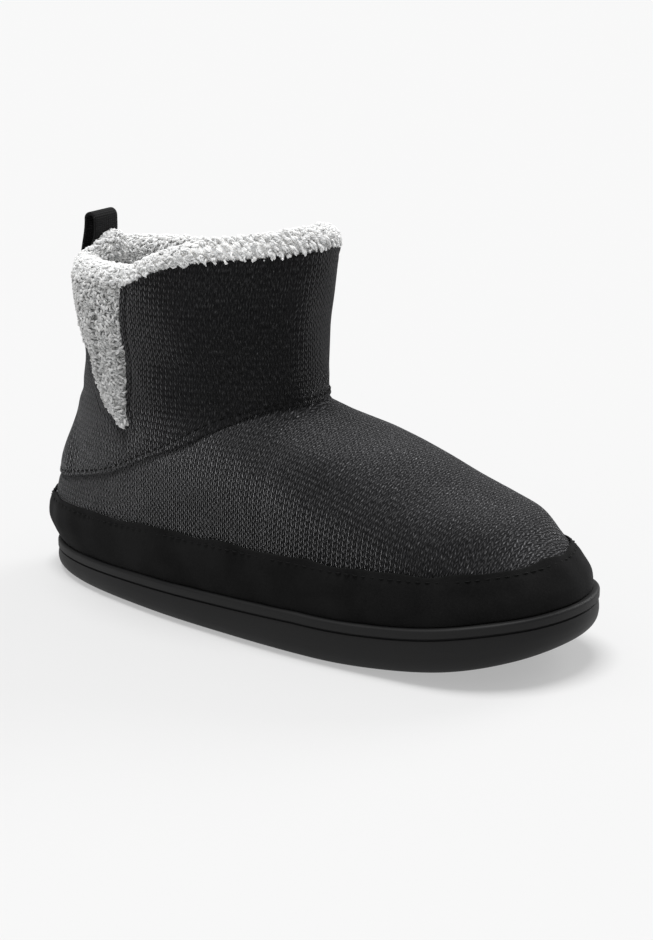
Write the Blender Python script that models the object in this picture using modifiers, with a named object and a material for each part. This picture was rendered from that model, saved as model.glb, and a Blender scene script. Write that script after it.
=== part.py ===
# Bootie slipper for the right foot: a rubber cup sole, a knitted upper with a notch at the
# outer ankle, a suede mudguard, a fleece lining rolled up at the collar, an insole and a pull loop.
# Metres, +Z up, toe towards +X, outer side towards -Y. The origin is on the floor, under the flat
# of the sole between its heel and forefoot treads.

from collections import namedtuple
from math import pi

import bpy
import bmesh
import numpy as np
from mathutils import Matrix

# Sizes of the sole
LENGTH = 0.290             # outsole, heel to toe
BALL_WIDTH = 0.107         # outsole across the ball of the foot
HEEL_EDGE = 0.015          # height of the sole's edge at the heel
BALL_EDGE = 0.022          # height of the sole's edge from the ball forwards
TOE_FALL = 0.0044          # how much thinner the sole is at the toe's end
TOE_SPRING = 0.0165        # how far the tip of the toe is lifted off the floor
EDGE_TUCK = 0.0075         # how far the bottom of the sole's edge is tucked in
RIM_HEIGHT = 0.0042        # raised rim along the top of the sole's edge
RIM_ROUND = 0.0009         # round on the rim's upper edge
GROOVE_WIDTH = 0.0012      # groove under the rim
GROOVE_DEPTH = 0.0012
TREAD_DEPTH = 0.0018       # grooves across the bottom
TREAD_WIDTH = 0.0030
TREAD_PITCH = 0.0115
TREAD_BORDER = 0.0150      # uncut border round the tread

# Sizes of the upper
INSTEP_HEIGHT = 0.080      # sole's edge to the throat, where the foot meets the shaft
COLLAR_HEIGHT = 0.153      # sole's edge to the collar's edge at the front
SHAFT_WIDTH = 0.090        # across the shaft at the collar
WALL = 0.0020              # bonded knit and backing
SEAM_STEP = 0.0007         # the shaft's panel lies over the edge of the vamp
SEAM_EDGE = 0.0004         # half the height over which that step falls
GUARD_HEIGHT = 0.0260      # suede mudguard over the sole's edge, where it is tallest
GUARD_THICKNESS = 0.0013
INSOLE_THICKNESS = 0.0055
INSOLE_GAP = 0.0015        # round the insole
INSOLE_ROUND = 0.0015      # round on its upper edge

# Sizes of the fleece and the pull loop
PILE = 0.0075              # thickness of the fleece lining
ROLL_RISE = 0.0072         # fleece over the collar's edge, without its tufts
ROLL_DEPTH = 0.0125        # thickness of the roll at the collar
NOTCH_BULGE = 0.0014       # fleece standing out of the notch
TUFT = 0.0020              # height of a middling tuft
LOOP_WIDTH = 0.0170
LOOP_TAPE = 0.0014
LOOP_GAP = 0.0058          # inside the loop
LOOP_RISE = 0.0265         # top of the loop over the collar's edge at the back
LOOP_TAIL = 0.0120         # sewn in between the wall and the fleece
LOOP_LEAN = 0.0047         # the loop's top leans in over the collar
LOOP_ROOM = 0.060          # way round on each side of the loop where the fleece makes room

GAP = 0.0003               # between pieces that touch

# The sole's outline: station as a share of LENGTH, outer and inner side as shares of BALL_WIDTH
PlanRow = namedtuple("PlanRow", "station outer inner")
PLAN = [
    PlanRow(0.035, 0.170, 0.235),
    PlanRow(0.130, 0.315, 0.345),
    PlanRow(0.300, 0.425, 0.320),
    PlanRow(0.450, 0.474, 0.335),
    PlanRow(0.600, 0.498, 0.420),
    PlanRow(0.730, 0.488, 0.487),
    PlanRow(0.860, 0.446, 0.445),
    PlanRow(0.955, 0.280, 0.338),
]
HEEL_TIP = 0.030           # across, as a share of BALL_WIDTH
TOE_TIP = 0.075
REST_STATION = 0.40        # the origin is under this station
BALL_STATION = 0.60        # the edge reaches its full height here
TAPER_SHARE = 0.86         # share of the length where the sole starts to thin towards the toe
SPRING_STATION = 0.62      # the toe starts to lift here
TREAD_FIELDS = ((0.075, 0.315), (0.475, 0.865))  # stations under the heel and the ball

# Side of the outsole from the floor to the groove: height as a share of the edge's height under
# the groove, inset as a share of EDGE_TUCK
EdgeRow = namedtuple("EdgeRow", "height inset")
EDGE = [
    EdgeRow(0.00, 1.00),
    EdgeRow(0.07, 0.55),
    EdgeRow(0.20, 0.24),
    EdgeRow(0.42, 0.05),
    EdgeRow(0.66, 0.00),
    EdgeRow(1.00, 0.06),
]

# Levels of the last from the sole's edge to the throat: height as a share of INSTEP_HEIGHT, back
# and front as shares of LENGTH, half widths as shares of BALL_WIDTH, oval from 0 (sole's
# outline) to 1 (ellipse)
LevelRow = namedtuple("LevelRow", "height back front outer inner oval")
FOOT = [
    LevelRow(0.000, 0.0150, 0.985, 0.458, 0.447, 0.00),
    LevelRow(0.075, 0.0010, 0.982, 0.470, 0.458, 0.02),
    LevelRow(0.160, -0.0095, 0.967, 0.474, 0.462, 0.05),
    LevelRow(0.300, -0.0015, 0.936, 0.472, 0.460, 0.11),
    LevelRow(0.430, 0.0095, 0.907, 0.468, 0.456, 0.20),
    LevelRow(0.530, 0.0190, 0.863, 0.462, 0.450, 0.30),
    LevelRow(0.630, 0.0310, 0.806, 0.452, 0.442, 0.41),
    LevelRow(0.730, 0.0445, 0.749, 0.438, 0.430, 0.52),
    LevelRow(0.830, 0.0565, 0.681, 0.415, 0.408, 0.64),
    LevelRow(0.920, 0.0655, 0.590, 0.390, 0.385, 0.78),
]

# Levels of the shaft: height as a share of the way from the throat to the collar, back and front
# as shares of LENGTH, half widths as shares of SHAFT_WIDTH
SHAFT = [
    LevelRow(0.00, 0.0730, 0.538, 0.440, 0.436, 0.90),
    LevelRow(0.10, 0.0790, 0.531, 0.445, 0.443, 0.97),
    LevelRow(0.25, 0.0840, 0.527, 0.458, 0.458, 1.00),
    LevelRow(0.45, 0.0740, 0.528, 0.480, 0.480, 1.00),
    LevelRow(0.70, 0.0630, 0.536, 0.496, 0.496, 1.00),
    LevelRow(1.00, 0.0600, 0.549, 0.500, 0.500, 1.00),
]

# The suede mudguard's top: way round from the heel over the outer side, height as a share of
# GUARD_HEIGHT
GuardRow = namedtuple("GuardRow", "around height")
GUARD = [
    GuardRow(0.00, 0.923),
    GuardRow(0.12, 0.931),
    GuardRow(0.20, 1.000),
    GuardRow(0.30, 0.962),
    GuardRow(0.36, 0.923),
    GuardRow(0.42, 0.804),
    GuardRow(0.50, 0.746),
    GuardRow(0.58, 0.815),
    GuardRow(0.66, 0.915),
    GuardRow(0.78, 0.962),
    GuardRow(0.90, 0.931),
    GuardRow(1.00, 0.923),
]

# The seam between vamp and shaft: way round from the heel over the outer side, height as a
# share of INSTEP_HEIGHT
SeamRow = namedtuple("SeamRow", "around height")
SEAM = [
    SeamRow(0.000, 0.42),
    SeamRow(0.060, 0.43),
    SeamRow(0.130, 0.53),
    SeamRow(0.190, 0.70),
    SeamRow(0.250, 0.83),
    SeamRow(0.340, 0.96),
    SeamRow(0.420, 1.03),
    SeamRow(0.500, 1.04),
    SeamRow(0.580, 1.03),
    SeamRow(0.660, 0.96),
    SeamRow(0.750, 0.83),
    SeamRow(0.810, 0.70),
    SeamRow(0.870, 0.53),
    SeamRow(0.940, 0.43),
    SeamRow(1.000, 0.42),
]

# The collar's edge: way round, height as a share of the way from the throat to the collar
COLLAR = [
    SeamRow(0.000, 0.80),
    SeamRow(0.078, 0.77),
    SeamRow(0.222, 0.79),
    SeamRow(0.250, 0.86),
    SeamRow(0.290, 0.94),
    SeamRow(0.350, 0.98),
    SeamRow(0.500, 1.00),
    SeamRow(0.580, 0.97),
    SeamRow(0.640, 0.88),
    SeamRow(0.700, 0.80),
    SeamRow(0.770, 0.78),
    SeamRow(0.850, 0.80),
    SeamRow(0.930, 0.82),
    SeamRow(1.000, 0.80),
]

# The notch at the outer ankle: height as a share of the way from seam to collar, back and front
# edge as shares of the way round. Its first row is the tip.
NotchRow = namedtuple("NotchRow", "height back front")
NOTCH = [
    NotchRow(0.19, 0.184, 0.1985),
    NotchRow(0.33, 0.164, 0.2075),
    NotchRow(0.47, 0.144, 0.2100),
    NotchRow(0.61, 0.124, 0.2120),
    NotchRow(0.75, 0.103, 0.2140),
    NotchRow(0.88, 0.080, 0.2170),
    NotchRow(1.00, 0.054, 0.2190),
]

# Section of the fleece over the collar's edge: out and up as shares of ROLL_DEPTH and ROLL_RISE,
# from the outer side over the top to the inner side
RollRow = namedtuple("RollRow", "inward up")
ROLL = [
    RollRow(0.03, 0.10),
    RollRow(0.00, 0.50),
    RollRow(0.14, 0.88),
    RollRow(0.45, 1.00),
    RollRow(0.80, 0.78),
    RollRow(1.00, 0.30),
]

# How finely the pieces are faceted
AROUND = 60                # columns round the upper
NOTCH_BACK = 6             # column that follows the notch's back edge
NOTCH_FRONT = 11           # column that follows the notch's front edge
GUARD_ROWS = 4
VAMP_ROWS = 8
SOLE_AROUND = 64
INSOLE_AROUND = 44


def smoothCurve(knots, values, at):
    # Monotone cubic through the knots: its slopes are harmonic means of the neighbouring chords
    knots = np.asarray(knots, float)
    values = np.asarray(values, float)
    at = np.clip(at, knots[0], knots[-1])
    step = np.diff(knots)[:, None]
    chord = np.diff(values, axis=0) / step
    slope = np.zeros_like(values)
    slope[0], slope[-1] = chord[0], chord[-1]
    before, after = chord[:-1], chord[1:]
    same = before * after > 0
    weightBefore = 2 * step[1:] + step[:-1]
    weightAfter = step[1:] + 2 * step[:-1]
    share = weightBefore / np.where(same, before, 1) + weightAfter / np.where(same, after, 1)
    slope[1:-1] = np.where(same, (weightBefore + weightAfter) / share, 0)
    left = np.clip(np.searchsorted(knots, at, side="right") - 1, 0, len(knots) - 2)
    width = (knots[left + 1] - knots[left])[..., None]
    t = (at - knots[left])[..., None] / width
    start, end = values[left], values[left + 1]
    return (start * (1 + 2 * t) * (1 - t) ** 2 + end * t * t * (3 - 2 * t)
            + width * t * (1 - t) * (slope[left] * (1 - t) - slope[left + 1] * t))


def closedCurve(points, around):
    # Closed centripetal curve through the points, at shares of the way round
    points = np.asarray(points, float)
    count = len(points)
    place = np.asarray(around, float) % 1.0 * count
    index = np.floor(place).astype(int) % count
    t = (place - np.floor(place))[..., None]
    p0, p1, p2, p3 = (points[(index + k) % count] for k in (-1, 0, 1, 2))
    d1, d2, d3 = (np.sqrt(np.linalg.norm(b - a, axis=-1, keepdims=True))
                  for a, b in ((p0, p1), (p1, p2), (p2, p3)))
    m1 = d2 * ((p1 - p0) / d1 - (p2 - p0) / (d1 + d2) + (p2 - p1) / d2)
    m2 = d2 * ((p2 - p1) / d2 - (p3 - p1) / (d2 + d3) + (p3 - p2) / d3)
    return (p1 * (1 + 2 * t) * (1 - t) ** 2 + m1 * t * (1 - t) ** 2
            + p2 * t * t * (3 - 2 * t) + m2 * t * t * (t - 1))


def plan(around):
    # The sole's outline in shares of LENGTH and BALL_WIDTH: heel, outer side, toe, inner side
    points = [(0.0, HEEL_TIP)]
    points += [(row.station, -row.outer) for row in PLAN]
    points += [(1.0, TOE_TIP)]
    points += [(row.station, row.inner) for row in reversed(PLAN)]
    return closedCurve(points, around)


def edgeHeight(x):
    # From the heel's height up to the ball's, and thinner again round the toe's end
    toe = np.clip((x / LENGTH - TAPER_SHARE) / (1 - TAPER_SHARE), 0, 1)
    return (HEEL_EDGE + (BALL_EDGE - HEEL_EDGE) * np.clip(x / (LENGTH * BALL_STATION), 0, 1)
            - TOE_FALL * toe ** 2)


def floorLift(x):
    way = np.clip((x / LENGTH - SPRING_STATION) / (1 - SPRING_STATION), 0, 1)
    return TOE_SPRING * way ** 2


def seat(x):
    # Height of the sole's top, which the upper stands on
    return edgeHeight(x) + floorLift(x)


def soleRing(around, inset):
    # The sole's outline in metres, moved in along its own normal
    step = 1e-4
    scale = np.array([LENGTH, BALL_WIDTH])
    here = plan(around) * scale
    along = (plan(around + step) - plan(around - step)) * scale
    along /= np.linalg.norm(along, axis=-1, keepdims=True)
    outward = np.stack([along[..., 1], -along[..., 0]], axis=-1)
    return here - outward * np.asarray(inset)[..., None]


def levels():
    # Both tables of levels in metres: height, back, front, half widths, and the oval share
    rows = [(row.height * INSTEP_HEIGHT, row.back * LENGTH, row.front * LENGTH,
             row.outer * BALL_WIDTH, row.inner * BALL_WIDTH, row.oval) for row in FOOT]
    rows += [(INSTEP_HEIGHT + row.height * (COLLAR_HEIGHT - INSTEP_HEIGHT), row.back * LENGTH,
              row.front * LENGTH, row.outer * SHAFT_WIDTH, row.inner * SHAFT_WIDTH, row.oval)
             for row in SHAFT]
    return np.array(rows)


def last(around, height):
    # A point of the upper's outer face: a level loop between the sole's outline and an ellipse
    table = levels()
    row = smoothCurve(table[:, 0], table[:, 1:], height)
    back, front, outer, inner, oval = np.moveaxis(row, -1, 0)
    shape = plan(around)
    widest = {"outer": max(row.outer for row in PLAN), "inner": max(row.inner for row in PLAN)}
    xSole = back + shape[..., 0] * (front - back)
    ySole = np.where(shape[..., 1] < 0, shape[..., 1] * outer / widest["outer"],
                     shape[..., 1] * inner / widest["inner"])
    turn = 2 * pi * around
    xOval = (back + front) / 2 - np.cos(turn) * (front - back) / 2
    yOval = -np.sin(turn) * np.where(np.sin(turn) > 0, outer, inner)
    x = xSole + (xOval - xSole) * oval
    y = ySole + (yOval - ySole) * oval
    return np.stack([x, y, height + seat(x)], axis=-1)


def lastNormal(around, height):
    step = 2e-3
    rise = 2e-4
    alongRound = last(around + step, height) - last(around - step, height)
    alongRise = last(around, height + rise) - last(around, height - rise)
    normal = np.cross(alongRound, alongRise)
    return normal / np.linalg.norm(normal, axis=-1, keepdims=True)


def guardHeight(around):
    table = np.array(GUARD)
    return GUARD_HEIGHT * smoothCurve(table[:, 0], table[:, 1:], around % 1.0)[..., 0]


def seamHeight(around):
    table = np.array(SEAM)
    return INSTEP_HEIGHT * smoothCurve(table[:, 0], table[:, 1:], around % 1.0)[..., 0]


def collarHeight(around):
    table = np.array(COLLAR)
    share = smoothCurve(table[:, 0], table[:, 1:], around % 1.0)[..., 0]
    return INSTEP_HEIGHT + share * (COLLAR_HEIGHT - INSTEP_HEIGHT)


def columns(share):
    # Ways round of the columns at one share of the way from seam to collar, with -1 at the sole.
    # Two of them follow the notch's edges, and below its tip they spread back to equal steps.
    table = np.array(NOTCH)
    tip = table[0, 0]
    if share >= tip:
        back, front = smoothCurve(table[:, 0], table[:, 1:], np.array(share))
    else:
        ease = ((share + 1) / (tip + 1)) ** 2
        even = np.array([NOTCH_BACK, NOTCH_FRONT]) / AROUND
        back, front = even + (table[0, 1:] - even) * ease
    index = np.arange(AROUND)
    return np.interp(index, [0, NOTCH_BACK, NOTCH_FRONT, AROUND], [0, back, front, 1])


def shaftRows():
    # Shares of the way from seam to collar, with the notch's rows among them
    return [0.0, NOTCH[0].height / 2] + [row.height for row in NOTCH]


def upperGrid():
    # Rows of ways round and heights from the sole to the collar
    rows = []
    below = GUARD_ROWS + VAMP_ROWS
    for k in range(below + 1):
        around = columns(k / below - 1)
        if k <= GUARD_ROWS:
            height = GAP + (guardHeight(around) - GAP) * k / GUARD_ROWS
        else:
            way = (k - GUARD_ROWS) / VAMP_ROWS
            low = guardHeight(around)
            height = low + (seamHeight(around) - low) * way
        rows.append((around, height))
    for share in shaftRows():
        around = columns(share)
        low, high = seamHeight(around), collarHeight(around)
        rows.append((around, low + (high - low) * share))
    return rows


def meshObject(name, points, faces, collection, material):
    # The forms are worked out from the heel's back, and the object stands over the origin
    mesh = bpy.data.meshes.new(name)
    mesh.from_pydata([tuple(map(float, point)) for point in points], [], faces)
    mesh.materials.append(material)
    mesh.shade_smooth()
    piece = bpy.data.objects.new(name, mesh)
    piece.location.x = -REST_STATION * LENGTH
    collection.objects.link(piece)
    return piece


def bandFaces(rows, around, closed=True, skip=lambda row, column: False):
    # Quads between successive rows of a grid
    faces = []
    for row in range(rows - 1):
        for column in range(around if closed else around - 1):
            if skip(row, column):
                continue
            after = (column + 1) % around
            faces.append((row * around + column, row * around + after,
                          (row + 1) * around + after, (row + 1) * around + column))
    return faces


def closedFaces(rows, around):
    # The same, with the last row joined to the first
    faces = bandFaces(rows, around)
    top = (rows - 1) * around
    for column in range(around):
        after = (column + 1) % around
        faces.append((top + column, top + after, after, column))
    return faces


def ladderFaces(first, around, upward):
    # Strips across a ring from its outer side to its inner side
    faces = []
    for k in range(around // 2):
        strip = [first + k, first + k + 1, first + (around - k - 1) % around,
                 first + (around - k) % around]
        strip = list(dict.fromkeys(strip))
        faces.append(tuple(strip if upward else reversed(strip)))
    return faces


def solidify(piece, thickness):
    shell = piece.modifiers.new("Wall", "SOLIDIFY")
    shell.thickness = thickness
    shell.offset = -1
    shell.use_even_offset = True
    shell.use_rim = True


def tapeBack(height):
    # Back face of the loop's tail, inside the wall, as x and z. The tape is flat, so its edges
    # touch the round of the wall first.
    beside = np.array([np.arcsin(LOOP_WIDTH / SHAFT_WIDTH) / (2 * pi)])
    height = np.array([height])
    point = last(beside, height) - lastNormal(beside, height) * (WALL + 2 * GAP)
    return point[0, 0], point[0, 2]


def material(name, colour, roughness):
    made = bpy.data.materials.new(name)
    made.use_nodes = True
    shader = made.node_tree.nodes["Principled BSDF"]
    shader.inputs["Base Color"].default_value = (*colour, 1)
    shader.inputs["Roughness"].default_value = roughness
    shader.inputs["Metallic"].default_value = 0
    return made


def outsole(collection):
    around = np.arange(SOLE_AROUND) / SOLE_AROUND
    rings = []

    def ring(inset, heightAt):
        flat = soleRing(around, np.full(SOLE_AROUND, inset))
        x = flat[:, 0]
        rings.append(np.column_stack([flat, floorLift(x) + heightAt(edgeHeight(x))]))

    under = RIM_HEIGHT + GROOVE_WIDTH
    for row in EDGE:
        ring(row.inset * EDGE_TUCK, lambda edge, share=row.height: share * (edge - under))
    ring(GROOVE_DEPTH, lambda edge: edge - RIM_HEIGHT - GROOVE_WIDTH * 0.7)
    ring(GROOVE_DEPTH, lambda edge: edge - RIM_HEIGHT - GROOVE_WIDTH * 0.3)
    ring(0.0, lambda edge: edge - RIM_HEIGHT)
    ring(0.0, lambda edge: edge - RIM_ROUND)
    ring(RIM_ROUND, lambda edge: edge)
    faces = bandFaces(len(rings), SOLE_AROUND)
    faces += ladderFaces(0, SOLE_AROUND, False)
    faces += ladderFaces((len(rings) - 1) * SOLE_AROUND, SOLE_AROUND, True)
    rubber = material("outsole_rubber", (0.020, 0.020, 0.021), 0.62)
    sole = meshObject("outsole", np.vstack(rings), faces, collection, rubber)
    sole.data.set_sharp_from_angle(angle=0.7)
    return sole


def treadCutter(collection):
    # One box for each groove across the bottom, under the heel and under the ball
    mesh = bpy.data.meshes.new("tread_cutter")
    shape = bmesh.new()
    outer = np.array([(row.station, row.outer, row.inner) for row in PLAN])
    for start, end in TREAD_FIELDS:
        count = int((end - start) * LENGTH / TREAD_PITCH)
        for k in range(count + 1):
            x = start * LENGTH + k * TREAD_PITCH
            sides = smoothCurve(outer[:, 0], outer[:, 1:], np.array(x / LENGTH)) * BALL_WIDTH
            low, high = -sides[0] + TREAD_BORDER, sides[1] - TREAD_BORDER
            ahead = TREAD_PITCH / 4
            slope = (floorLift(x + ahead) - floorLift(x - ahead)) / (2 * ahead)
            place = Matrix.Translation((x, (low + high) / 2, float(floorLift(x))))
            turn = Matrix.Rotation(-float(np.arctan(slope)), 4, "Y")
            size = Matrix.Diagonal((TREAD_WIDTH, high - low, 2 * TREAD_DEPTH, 1))
            bmesh.ops.create_cube(shape, size=1, matrix=place @ turn @ size)
    shape.to_mesh(mesh)
    shape.free()
    cutter = bpy.data.objects.new("tread_cutter", mesh)
    cutter.location.x = -REST_STATION * LENGTH
    cutter.hide_render = True
    cutter.display_type = "WIRE"
    collection.objects.link(cutter)
    return cutter


def insole(collection):
    # A footbed that follows the upper's lower edge, a wall and a clearance further in
    around = np.arange(INSOLE_AROUND) / INSOLE_AROUND
    lowest = np.full(INSOLE_AROUND, GAP)
    foot = last(around, lowest)
    outward = lastNormal(around, lowest) * (1, 1, 0)
    outward /= np.linalg.norm(outward, axis=1, keepdims=True)
    rings = []
    for height, inset in ((GAP, 0.0), (INSOLE_THICKNESS - INSOLE_ROUND, 0.0),
                          (INSOLE_THICKNESS, INSOLE_ROUND)):
        point = foot - outward * (WALL + INSOLE_GAP + inset)
        point[:, 2] = seat(point[:, 0]) + height
        rings.append(point)
    faces = bandFaces(len(rings), INSOLE_AROUND)
    faces += ladderFaces(0, INSOLE_AROUND, False)
    faces += ladderFaces((len(rings) - 1) * INSOLE_AROUND, INSOLE_AROUND, True)
    foam = material("insole_fleece", (0.62, 0.62, 0.61), 0.95)
    return meshObject("insole", np.vstack(rings), faces, collection, foam)


def upper(collection):
    # The knitted upper: one open surface with a real wall. Below the seam it lies lower than the
    # shaft's panel by the seam's step.
    seamRow = GUARD_ROWS + VAMP_ROWS
    tipRow = seamRow + shaftRows().index(NOTCH[0].height) + 1
    rows = []
    for index, (around, height) in enumerate(upperGrid()):
        if index == seamRow:
            height = height - SEAM_EDGE
        if index == seamRow + 1:
            height = height + SEAM_EDGE
        sunk = SEAM_STEP if index <= seamRow else 0.0
        rows.append(last(around, height) - lastNormal(around, height) * sunk)

    def inNotch(row, column):
        return row >= tipRow and NOTCH_BACK <= column < NOTCH_FRONT

    faces = bandFaces(len(rows), AROUND, skip=inNotch)
    points = np.vstack(rows)
    used = sorted({corner for face in faces for corner in face})
    number = {old: new for new, old in enumerate(used)}
    faces = [tuple(number[corner] for corner in face) for face in faces]
    knit = material("charcoal_knit", (0.028, 0.028, 0.029), 0.92)
    piece = meshObject("upper", points[used], faces, collection, knit)
    solidify(piece, WALL)
    return piece


def mudguard(collection):
    # Suede band from the upper's own surface, a clearance outside the vamp: up its outer face and
    # down its inner face, with both lower edges just over the sole's rim
    rings = []

    def ring(around, height, out, lowest):
        point = last(around, height) + lastNormal(around, height) * out
        if lowest:
            point[:, 2] = seat(point[:, 0]) + GAP
        rings.append(point)

    grid = upperGrid()[:GUARD_ROWS + 1]
    for index, (around, height) in enumerate(grid):
        ring(around, height, GAP + GUARD_THICKNESS, index == 0)
    for index, (around, height) in reversed(list(enumerate(grid))):
        ring(around, height, GAP, index == 0)
    suede = material("black_microsuede", (0.008, 0.008, 0.008), 0.88)
    return meshObject("mudguard", np.vstack(rings), closedFaces(len(rings), AROUND), collection,
                      suede)


def tufted(points, faces, shown, rng):
    # Each shown face gets a tuft: its middle is raised along its normal and joined to its corners
    points = list(points)
    made = []
    for face in faces:
        if not shown(face):
            made.append(face)
            continue
        corners = np.array([points[corner] for corner in face])
        normal = np.cross(corners[2] - corners[0], corners[3] - corners[1])
        height = TUFT * rng.uniform(0.6, 1.4)
        points.append(corners.mean(axis=0) + normal / np.linalg.norm(normal) * height)
        for k in range(4):
            made.append((face[k], face[(k + 1) % 4], len(points) - 1))
    return points, made


def fleece(collection):
    # The lining from just over the seam to the roll on the collar, with tufts where it shows.
    # Between the notch's edges it stands out through the wall, and behind the pull loop it makes
    # room for the tape. Its section runs up the outer side and down the inner side.
    rng = np.random.RandomState(7)
    shares = shaftRows()[1:]
    column = np.arange(AROUND)
    between = (column > NOTCH_BACK) & (column < NOTCH_FRONT)
    clear = WALL + 2 * GAP
    fromHeel = np.abs((columns(1.0) + 0.5) % 1.0 - 0.5)
    nearLoop = np.clip(2 * (1 - fromHeel / LOOP_ROOM), 0, 1)
    behind = np.zeros(1)
    collarBehind = collarHeight(behind)
    tailRoom = tapeBack(collarBehind[0])[0] + 2 * LOOP_TAPE + GAP - last(behind, collarBehind)[0, 0]
    rollRoom = WALL + 2 * LOOP_TAPE + LOOP_LEAN + 2 * GAP
    rings = []

    def ring(share, inward, up=0.0, tuft=0.0, besideTail=False):
        around = columns(share)
        low, high = seamHeight(around), collarHeight(around)
        height = low + (high - low) * share
        inward = inward + rng.uniform(-1, 1, AROUND) * tuft
        if besideTail:
            reach = np.clip(2 - (high - height) / LOOP_TAIL, 0, 1) * nearLoop
            inward = inward + reach * np.maximum(tailRoom + GAP - inward, 0)
        point = last(around, height) - lastNormal(around, height) * inward[:, None]
        point[:, 2] += up
        rings.append(point)

    for index, share in enumerate(shares):
        proud = np.clip((index - 1) / 2, 0, 1)
        inward = np.where(between, clear - (NOTCH_BULGE + clear) * proud, clear)
        ring(share, inward, besideTail=True)
    firstRoll = len(rings)
    for row in ROLL:
        outer = 1 - np.clip(row.inward, 0, 1)
        inward = row.inward * ROLL_DEPTH - outer * between * NOTCH_BULGE
        inward = inward + nearLoop * rollRoom * (0.6 + 0.4 * outer)
        ring(1.0, inward, GAP + row.up * (ROLL_RISE - GAP), TUFT / 4 * (row.up > ROLL[0].up))
    lastRoll = len(rings) - 1
    for share in reversed(shares[::2]):
        depth = ROLL_DEPTH if share == shares[-1] else clear + PILE
        ring(share, np.full(AROUND, depth) + nearLoop * rollRoom * 0.4 * (share == shares[-1]),
             0.0, TUFT / 2)

    def shown(face):
        # On the roll away from the loop, and on the notch's bulge away from its edges
        row, place = divmod(face[0], AROUND)
        if row < firstRoll:
            return shares[row] > NOTCH[1].height and NOTCH_BACK < place < NOTCH_FRONT - 1
        return row < lastRoll and nearLoop[place] + nearLoop[(place + 1) % AROUND] == 0

    points, faces = tufted(np.vstack(rings), closedFaces(len(rings), AROUND), shown, rng)
    pile = material("grey_fleece", (0.60, 0.60, 0.60), 0.97)
    return meshObject("fleece_lining", points, faces, collection, pile)


def pullLoop(collection):
    # A folded tape as a flat outline with a hole, extruded by its width. Its doubled tail hangs
    # between the wall and the fleece, then its two legs part, lean in over the collar and close
    # in a round.
    collarBehind = collarHeight(np.zeros(1))[0]
    tail = [tapeBack(collarBehind - LOOP_TAIL * (1 - k / 3)) for k in range(4)]
    xEdge, zEdge = tail[-1]
    xRound = xEdge + LOOP_TAPE + LOOP_LEAN
    zRound = zEdge + LOOP_RISE - LOOP_GAP / 2 - LOOP_TAPE

    def leg(xLow, xHigh, start, end, steps):
        # From the collar's edge up to the round, leaning with a smooth step
        points = []
        for k in range(steps + 1):
            way = start + (end - start) * k / steps
            ease = way * way * (3 - 2 * way)
            points.append((xLow + (xHigh - xLow) * ease, zEdge + (zRound - zEdge) * way))
        return points

    def halfRound(radius):
        return [(xRound - radius * np.cos(turn), zRound + radius * np.sin(turn))
                for turn in np.linspace(0, pi, 9)]

    radius = LOOP_GAP / 2
    reach = radius + LOOP_TAPE
    part = 0.32            # share of the legs' height below which the tape stays doubled
    outline = list(tail)
    outline += leg(xEdge, xRound - reach, 0, 1, 5)[1:-1]
    outline += halfRound(reach)
    outline += leg(xEdge + 2 * LOOP_TAPE, xRound + reach, 1, 0, 5)[1:-1]
    outline += [(x + 2 * LOOP_TAPE, z) for x, z in reversed(tail)]
    backLeg = leg(xEdge + LOOP_TAPE, xRound - radius, part, 1, 5)
    frontLeg = leg(xEdge + LOOP_TAPE, xRound + radius, 1, part, 5)
    meeting = [((backLeg[0][0] + frontLeg[-1][0]) / 2, backLeg[0][1])]
    hole = halfRound(radius) + frontLeg[1:-1] + meeting + backLeg[1:-1]
    curve = bpy.data.curves.new("pull_loop", "CURVE")
    curve.dimensions = "2D"
    curve.fill_mode = "BOTH"
    curve.extrude = LOOP_WIDTH / 2
    for points in (outline, hole):
        spline = curve.splines.new("POLY")
        spline.points.add(len(points) - 1)
        for point, (x, z) in zip(spline.points, points):
            point.co = (x, z, 0, 1)
        spline.use_cyclic_u = True
    holder = bpy.data.objects.new("pull_loop_outline", curve)
    collection.objects.link(holder)
    overRest = Matrix.Translation((-REST_STATION * LENGTH, 0, 0))
    holder.matrix_world = overRest @ Matrix.Rotation(pi / 2, 4, "X")
    bpy.context.view_layer.update()
    evaluated = holder.evaluated_get(bpy.context.evaluated_depsgraph_get())
    mesh = bpy.data.meshes.new_from_object(evaluated)
    mesh.name = "pull_loop"
    shape = bmesh.new()
    shape.from_mesh(mesh)
    bmesh.ops.remove_doubles(shape, verts=shape.verts, dist=1e-5)
    shape.to_mesh(mesh)
    shape.free()
    mesh.materials.clear()
    mesh.materials.append(material("black_webbing", (0.010, 0.010, 0.010), 0.80))
    loop = bpy.data.objects.new("pull_loop", mesh)
    loop.matrix_world = holder.matrix_world
    collection.objects.link(loop)
    bpy.data.objects.remove(holder, do_unlink=True)
    return loop


def main():
    for old in list(bpy.data.objects):
        bpy.data.objects.remove(old, do_unlink=True)
    pieces = bpy.data.collections.new("bootie_slipper")
    cutters = bpy.data.collections.new("cutters")
    bpy.context.scene.collection.children.link(pieces)
    bpy.context.scene.collection.children.link(cutters)
    sole = outsole(pieces)
    cut = sole.modifiers.new("Tread", "BOOLEAN")
    cut.operation = "DIFFERENCE"
    cut.object = treadCutter(cutters)
    insole(pieces)
    upper(pieces)
    mudguard(pieces)
    fleece(pieces)
    pullLoop(pieces)


main()
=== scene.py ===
# Bootie slipper for the right foot, dressed over its CAD frame: moulded rubber cup sole, heather
# knit vamp and shaft, microsuede mudguard, sherpa fleece rolled over the collar and standing out
# of the notch at the outer ankle, and a webbing pull loop at the heel. Metres, toe towards +X,
# outer side towards -Y.
from math import pi, radians

import bpy
import numpy as np
from mathutils import Matrix, Vector


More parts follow.
